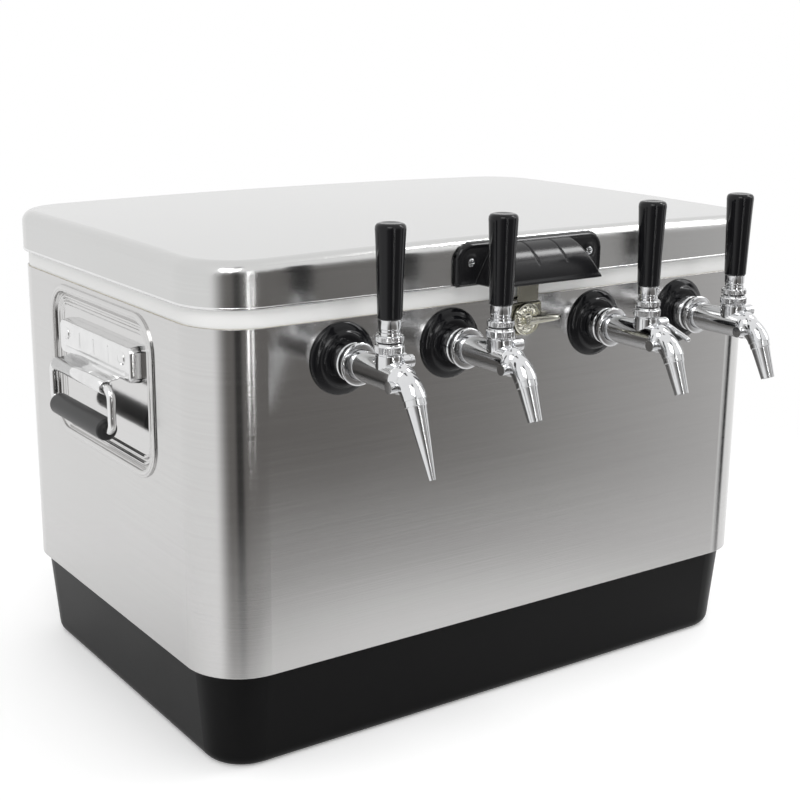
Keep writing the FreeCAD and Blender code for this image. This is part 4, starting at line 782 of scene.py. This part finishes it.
# %% Roll their lower edges
BAR_X, BAR_Z, ROLL = 318.0, 301.0, 5.4
ROLL_HALF_LENGTH = 0.052
ROLL_SHEET = 1.1
roll_path = [(305.2, 309.2), (306.4, 307.8), (309.0, 306.9), (312.2, 306.5)]
roll_path += [(BAR_X + ROLL * math.cos(math.radians(turn)),
               BAR_Z + ROLL * math.sin(math.radians(turn))) for turn in range(115, -216, -15)]
rolls = bmesh.new()
for side in (-1, 1):
    points = [rolls.verts.new((side * x * MM, -ROLL_HALF_LENGTH, z * MM))
              for x, z in roll_path]
    edges = [rolls.edges.new(pair) for pair in zip(points, points[1:])]
    drawn = bmesh.ops.extrude_edge_only(rolls, edges=edges)["geom"]
    bmesh.ops.translate(rolls, vec=(0, 2 * ROLL_HALF_LENGTH, 0),
                        verts=[item for item in drawn if isinstance(item, bmesh.types.BMVert)])
roll_piece = piece("bracket_rolls", rolls, "cooler", "bright_steel", limit=50)
sheet_wall = roll_piece.modifiers.new("sheet", "SOLIDIFY")
sheet_wall.thickness, sheet_wall.offset = ROLL_SHEET * MM, 0.0
print("the roll round the bar is", 2 * ROLL, "mm across")

# %% [markdown]
# A rivet's head is a low dome with a soft rim. A squashed ball would have no rim,
# so the dome is spun from an outline like the other turned pieces.

# %% Set the rivets
RIVET_FACE, RIVET_SPREAD = 0.3058, 0.058
heads = bmesh.new()
rivets = solids_of("bracket_rivets")
for low, high in rivets:
    side = math.copysign(1, low.x)
    across = math.copysign(RIVET_SPREAD, low.y + high.y)
    spun(heads, [(0, 2.6), (1.6, 2.5), (3.2, 2.1), (4.6, 1.4), (5.5, 0.5), (5.8, -0.2)],
         (side * RIVET_FACE, across, (low.z + high.z) / 2), (side, 0, 0), steps=32)
piece("rivet_heads", heads, "cooler", "bright_steel", "bracket_rivets")
print("rivets:", len(rivets))

# %% [markdown]
# ## The lid handle
# The handle on the lid's front is a black moulding: a back plate with a raised
# rim, and a hood that bulges out like a quarter of a barrel, open below for
# the fingers. The plate could be an inset block, but pressed from a grid like
# the brackets it gets its rim and the bosses under the screws from one rule.

# %% Press the handle's plate
lid_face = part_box("lid_handle")[1].y
PLATE_BOTTOM, PLATE_TOP = 386, 421
PLATE_MIDDLE, HALF_TALL = (PLATE_BOTTOM + PLATE_TOP) / 2, (PLATE_TOP - PLATE_BOTTOM) / 2
HALF_WIDE = 78
SCREW_SPREAD = 64


def plate_inside(across, height):
    """Round upper corners, nearly square lower ones."""
    corner = 15 if height > 0 else 4
    return inside_by(across, height, HALF_WIDE, HALF_TALL, corner)


def plate_depth(across, height):
    """An edge, a raised rim and a low boss under each screw."""
    inside = plate_inside(across, height)
    rim = 0.8 * ridge(inside, 2.2, 1.6)
    from_screw = math.hypot(abs(across) - SCREW_SPREAD, height - 1.5)
    boss = 0.7 * (1 - soft_step(from_screw, 6.0, 7.2))
    return rounded_rim(inside, 3.2, 1.6) + rim + boss


moulding = bmesh.new()
points = pressed(moulding, HALF_WIDE, HALF_TALL, 1.0, plate_depth,
                 lambda a, h: plate_inside(a, h) > 0)
stand_on(points, moulding, (0, lid_face, PLATE_MIDDLE * MM), (0, -1, 0), (1, 0, 0))
print("the plate has", len(points), "points")

# %% [markdown]
# The hood is a second grid that is bent over an arc. It could be part of a
# barrel cut by booleans, but on a grid its three slanting grooves, its lip and
# its closed ends are all part of one surface. Solidify gives it a wall.

# %% Bend the hood over it
HOOD_TOP, HOOD_REACH, HOOD_DROP = 418.0, 26.5, 31.0
HOOD_HALF_TOP, HOOD_FLARE, HOOD_ROOT = 41, 19, 3.0
END_SHARE, END_WIDTH, END_BREAK = 0.90, 4.5, 0.55
GROOVES = (-43, -13, 17)
MOULDED_WALL = 0.0022


def end_closing(end):
    """1 where the end begins, 0 at its tip: a round shoulder, then a straight run."""
    if end < END_BREAK:
        return math.sqrt(max(0.0, 1 - end * end))
    return 0.835 * (1 - (end - END_BREAK) / (1 - END_BREAK))


hood = bmesh.ops.create_grid(moulding, x_segments=240, y_segments=48, size=1.0)["verts"]
for vert in hood:
    across, down = vert.co.x, (1 - vert.co.y) / 2
    angle = down * math.pi / 2
    half = HOOD_HALF_TOP + HOOD_FLARE * (1 - math.cos(angle))
    end = max(0.0, (abs(across) - END_SHARE) / (1 - END_SHARE))
    x = math.copysign(min(abs(across), END_SHARE) * half + END_WIDTH * end, across)
    z = HOOD_TOP - HOOD_DROP * (1 - math.cos(angle))
    cuts = sum(ridge(x - groove - 0.2 * (HOOD_TOP - z), 0, 1.2) for groove in GROOVES)
    cuts *= soft_step(down, 0.02, 0.08) * (1 - soft_step(down, 0.62, 0.70))
    lip = 1.2 * soft_step(down, 0.93, 0.97)
    reach = (HOOD_REACH * math.sin(angle) ** 1.15 - 2.4 * cuts + lip) * end_closing(end)
    vert.co = Vector((x * MM, lid_face - (HOOD_ROOT + reach) * MM, z * MM))
bmesh.ops.recalc_face_normals(moulding, faces=moulding.faces)
handle_piece = piece("lid_grab", moulding, "lid", "black_handle", "lid_handle", limit=50)
wall = handle_piece.modifiers.new("wall", "SOLIDIFY")
wall.thickness, wall.offset = MOULDED_WALL, 0.0
reach = lid_face - min(v.co.y for v in handle_piece.data.vertices)
print("the lid handle reaches", round(reach / MM, 1), "mm")

# %% [markdown]
# ## Cross-head screws
# Bright screws hold the handle and the two hinges. A round head is spun in fine
# rings, and the points under a cross are pushed in to make the driver's recess,
# which is quicker than a boolean cut and leaves no thin slivers.

# %% Build the screws
HEAD_RADIUS, HEAD_DOME = 4.0, 1.7
BOSS_FACE = 0.0040


def cross_head(shape, base, out, radius, dome):
    """Spin a domed head and stand it on base, facing out."""
    rings = [(radius * k / 12, dome * math.sqrt(max(0, 1 - (k / 12.5) ** 2))) for k in range(13)]
    new = spun(shape, rings + [(radius, -0.3)], (0, 0, 0), steps=48)
    for vert in new:
        near = min(abs(vert.co.x), abs(vert.co.y)) / MM
        along = max(abs(vert.co.x), abs(vert.co.y)) / MM
        if near < 0.12 * radius and along < 0.62 * radius:
            vert.co.z -= 0.42 * dome * MM
    stand = Vector(out).to_track_quat("Z", "Y").to_matrix().to_4x4()
    bmesh.ops.transform(shape, matrix=Matrix.Translation(base) @ stand, verts=new)


for name, node, body, out in (("lid_grab_screws", "lid_handle_screws", "lid", -1),
                              ("lid_leaf_screws", "lid_hinge_screws", "lid", 1),
                              ("body_leaf_screws", "body_hinge_screws", "cooler", 1)):
    screws = bmesh.new()
    old_heads = solids_of(node)
    for low, high in old_heads:
        middle = (low + high) / 2
        face = lid_face - BOSS_FACE if out < 0 else high.y - HEAD_DOME * MM
        cross_head(screws, (middle.x, face, middle.z), (0, out, 0), HEAD_RADIUS, HEAD_DOME)
    piece(name, screws, body, "zinc_screw", node, limit=60)
    print(name, "has", len(old_heads), "heads")

# %% [markdown]
# ## The turn latch
# The latch is a small cast wing on a round rosette, over a pressed plate with a
# raised rim. Turning the wing frees the keeper on the lid. The plate is pressed
# from a grid, as the brackets are.

# %% Press the latch plate
base_low, base_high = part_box("latch_plate")
latch_z = (base_low.z + base_high.z) / 2
half_plate = ((base_high.x - base_low.x) / 2 / MM, (base_high.z - base_low.z) / 2 / MM)


def latch_corner(height):
    return 13.0 if height < 0 else 3.0


def latch_depth(across, height):
    inside = inside_by(across, height, *half_plate, latch_corner(height))
    return rounded_rim(inside, 1.4, 0.9) + 0.5 * ridge(inside, 1.5, 1.2)


backing = bmesh.new()
points = pressed(backing, *half_plate, 0.4, latch_depth,
                 lambda a, h: inside_by(a, h, *half_plate, latch_corner(h)) > 0)
stand_on(points, backing, (0, base_high.y + 0.0001, latch_z), (0, -1, 0), (1, 0, 0))
piece("latch_backing", backing, "cooler", "nickel", "latch_plate", limit=60)
print("the latch's plate is", round(2 * half_plate[0]), "mm wide")

# %% [markdown]
# The rosette could be sculpted. Here it is spun, and its petals are waves that
# are pulled into the spun face between two radii.

# %% Cast the rosette
PETALS = 10
PETAL_DEPTH = 0.45
knob = bmesh.new()
face = spun(knob, [(0, 0), (13.9, 0), (14.2, 0.5), (14.1, 1.9), (13.4, 2.6), (12.6, 2.5),
                   (12.1, 1.7), (11.2, 1.6), (10.4, 2.2), (9.0, 2.9), (7.6, 3.2), (6.2, 3.0),
                   (5.4, 2.4), (4.8, 2.6), (4.2, 3.6), (2.6, 4.2), (0, 4.4)],
            (0, 0, 0), steps=80)
for vert in face:
    radius = Vector(vert.co.xy).length / MM
    ring = soft_step(radius, 5.0, 7.0) * (1 - soft_step(radius, 9.5, 11.4))
    petal = math.cos(PETALS * math.atan2(vert.co.y, vert.co.x))
    vert.co.z += PETAL_DEPTH * petal * ring * MM
print("the rosette has", PETALS, "petals")

# %% [markdown]
# The wing starts as a block. It is divided along its length so that it can
# taper and round off, its top is hollowed by an inset, and a bevel breaks its
# edges as a casting's are. The rosette beside it is already in metres while the
# wing is still in millimetres, so every point that is further than half a unit
# from the middle belongs to the wing.

# %% Cast the wing
WING_LENGTH, WING_BACK = 40, 6.5
TIP_START = 0.72
FAR = 0.5

wing = bmesh.ops.create_cube(knob, size=2.0)["verts"]
wing_edges = {edge for vert in wing for edge in vert.link_edges}
bmesh.ops.subdivide_edges(knob, edges=[e for e in wing_edges
                                       if abs((e.verts[0].co - e.verts[1].co).x) > 1],
                           cuts=12)
wing = [v for v in knob.verts if v.co.length > FAR]
wing_top = [f for f in knob.faces if f.verts[0] in set(wing) and f.normal.y > 0.9]
for vert in wing:
    along = (vert.co.x + 1) / 2
    taper = math.sqrt(max(0.02, 1 - max(0.0, (along - TIP_START) / (1 - TIP_START)) ** 2))
    vert.co = Vector((along * WING_LENGTH - WING_BACK,
                      vert.co.y * (3.1 - 0.8 * along) * (0.55 + 0.45 * taper),
                      6.9 - 0.6 * along + vert.co.z * (3.9 - 0.3 * along) * taper))
bmesh.ops.inset_region(knob, faces=wing_top, thickness=1.1, depth=-1.5)
wing_edges = [e for e in knob.edges if e.verts[0].co.length > FAR
              and len(e.link_faces) == 2 and e.calc_face_angle() > 0.7]
bmesh.ops.bevel(knob, geom=wing_edges, offset=0.45, segments=3, profile=0.5,
                affect="EDGES", material=-1)
wing = [v for v in knob.verts if v.co.length > FAR]
bmesh.ops.scale(knob, vec=(MM, MM, MM), verts=wing)

# %% [markdown]
# The knob was built lying flat about the middle of the scene, where its shapes
# are easy to write. One matrix turns it to face the front and puts it in place.

# %% Stand the latch on its plate
DISC_GAP = 0.0002
facing_front = Matrix(((1, 0, 0), (0, 0, -1), (0, 1, 0))).to_4x4()
knob_place = Matrix.Translation((0, base_low.y - DISC_GAP, latch_z)) @ facing_front
bmesh.ops.transform(knob, matrix=knob_place, verts=knob.verts)
knob_piece = piece("latch_turn_knob", knob, "latch_knob", "nickel", "latch_knob", limit=40,
                   finish="cast_nickel")
wing_tip = max(v.co.x for v in knob_piece.data.vertices)
print("the latch wing reaches x", round(wing_tip / MM, 1), "mm")
